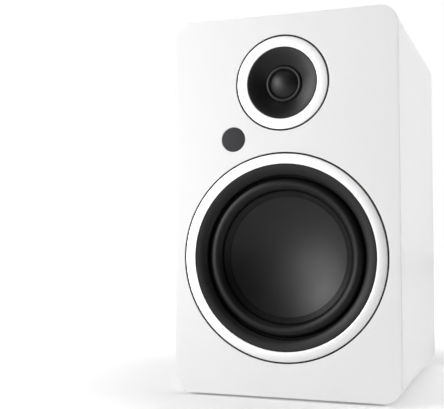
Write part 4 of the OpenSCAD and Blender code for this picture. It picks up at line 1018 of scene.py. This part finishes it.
stud_line = soften(outside([(0, 6.4), (2.05, 6.4), (2.05, 20.4), (3.0, 20.4), (3.0, STUD_END),
                            (0, STUD_END)]), 0.25, 3, closed=False)
base_line = soften(outside([(3.0, 3.0), (8.0, 3.0), (8.0, 0), (5.1, 0), (5.1, BASE_END),
                            (3.0, BASE_END)]), 0.4)
make_piece("gold_studs", [(turned(stud_line, post(c), 64), False) for c in POST_X], "speaker",
           "socket_gold", ["post_studs"])
make_piece("post_collars", [turned(base_line, post(c), 96) for c in POST_X], "speaker",
           "black_plastic", ["post_bases"])

# %% [markdown]
# ## Sockets
# The signal sockets are gold-plated sleeves round coloured inserts: white and red for the two
# inputs, black for the subwoofer. Their shapes are turned. The square sockets, the switch and
# the mains inlet keep their exact solids, with their edges rounded.

# %% Sockets and switch
insert_colours = {44: ("white_insert", (0.75, 0.75, 0.74)), 28: ("red_insert", (0.5, 0.015, 0.015)),
                  6: ("black_insert", (0.02, 0.02, 0.022))}
SHELL_IN, SHELL_OUT, SHELL_END, INSERT_END = 3.4, 4.15, -14.0, -12.0
shell_line = soften(outside([
    (SHELL_IN, SHELL_END), (SHELL_OUT, SHELL_END), (SHELL_OUT, 0), (5.65, 0), (5.65, 1.5),
    (SHELL_OUT, 1.5), (SHELL_OUT, 9.5), (SHELL_IN, 9.5)]), 0.25)
insert_line = soften(outside([(0, INSERT_END), (SHELL_IN, INSERT_END), (SHELL_IN, 8.9), (1.6, 8.9),
                              (1.6, -0.1), (0, -0.1)]), 0.3, 3, closed=False)
sleeves = [(plate[0] + x * MM, post_z) for x in insert_colours]
make_piece("gold_sleeves", [turned(shell_line, p, 72) for p in sleeves], "speaker", "socket_gold",
           ["rca_shells"])
for centre, (name, colour) in zip(sleeves, insert_colours.values()):
    make_piece(name, [(turned(insert_line, centre, 72), False)], "speaker", "insert_plastic",
               ["rca_inserts"], moulded(name, colour, 0.35, 0.3, 0.006))
for node, name, width in (
        ("pairing_button", "round_button", 0.3), ("rocker_housing", "switch_frame", 0.25),
        ("power_rocker", "switch_rocker", 0.35), ("mains_inlet", "figure_eight_inlet", 0.25),
        ("optical_socket", "optical_frame", 0.2), ("optical_shutter", "optical_flap", 0.1)):
    softened_copy(node, name, "black_plastic", width)
softened_copy("hdmi_socket", "nickel_sleeve", "socket_metal", 0.12)

# %% [markdown]
# ## Wadding
# Pads of polyester wadding line the walls inside and soak up echoes. A pad bulges between its
# edges and has soft lumps. Each is a rounded box, worked out from a ball by pushing every
# direction u out to |u|^0.22 along each axis, so that the faces are nearly flat and the edges
# round. Three slow waves along the faces then press the lumps in. The wadding is hidden, so
# these waves stand in for a cloth simulation.

# %% Wadding pads
def wadding_pad(low, high, rows=40, columns=80, power=0.22):
    """Rounded box between two corners: centre + half * sign(u) |u|^power for directions u of a
    ball, less lumps = 0.06 * (sin + sin + sin) of the place, which only press inwards."""
    low, high = np.asarray(low, float), np.asarray(high, float)
    theta = np.linspace(0, np.pi, rows)[:, None]
    phi = np.linspace(0, 2 * np.pi, columns, endpoint=False)[None, :]
    u = np.stack([np.sin(theta) * np.cos(phi), np.sin(theta) * np.sin(phi),
                  np.cos(theta) + 0 * phi], 2)
    ball = np.sign(u) * np.abs(u) ** power
    wave = (np.sin(7 * ball[..., 0] + 5 * ball[..., 1]) + np.sin(9 * ball[..., 2])
            + np.sin(6 * ball[..., 1]))
    squeeze = 1 - 0.03 * (wave + 3)
    return (low + high) / 2 + ball * squeeze[..., None] * (high - low) / 2


solid = frame["nodes"]["wadding_pads"]
corners = np.array([v.co[:] for v in solid.data.vertices])
ceiling = corners[corners[:, 2] > corners[:, 2].max() - 13 * MM]
tall = corners[corners[:, 2] < 0.2]
pads = [wadding_pad(ceiling.min(0), ceiling.max(0))]
for sign in (-1, 1):
    wall_pad = tall[tall[:, 0] * sign > 0]
    pads.append(wadding_pad(wall_pad.min(0), wall_pad.max(0)))
padding = make_piece("lumpy_wadding", [(p, False) for p in pads], "speaker", "wadding",
                     ["wadding_pads"])

# %% [markdown]
# ## The parts that keep their own solids
# What is flat or hidden keeps its exact solid and only takes a finish. The record names a slot
# for each part, and each slot has its finish above.

# %% Dress the rest and list the kept solids
slot_of = {row["node"]: row["material_slot"] for row in frame["record"]["subparts"]}
plain = [o for name, o in sorted(frame["nodes"].items()) if not o.hide_render]
for solid in plain:
    solid.data.materials.clear()
    solid.data.materials.append(finishes[slot_of[solid.name]])
print("kept solids:", [o.name for o in plain])
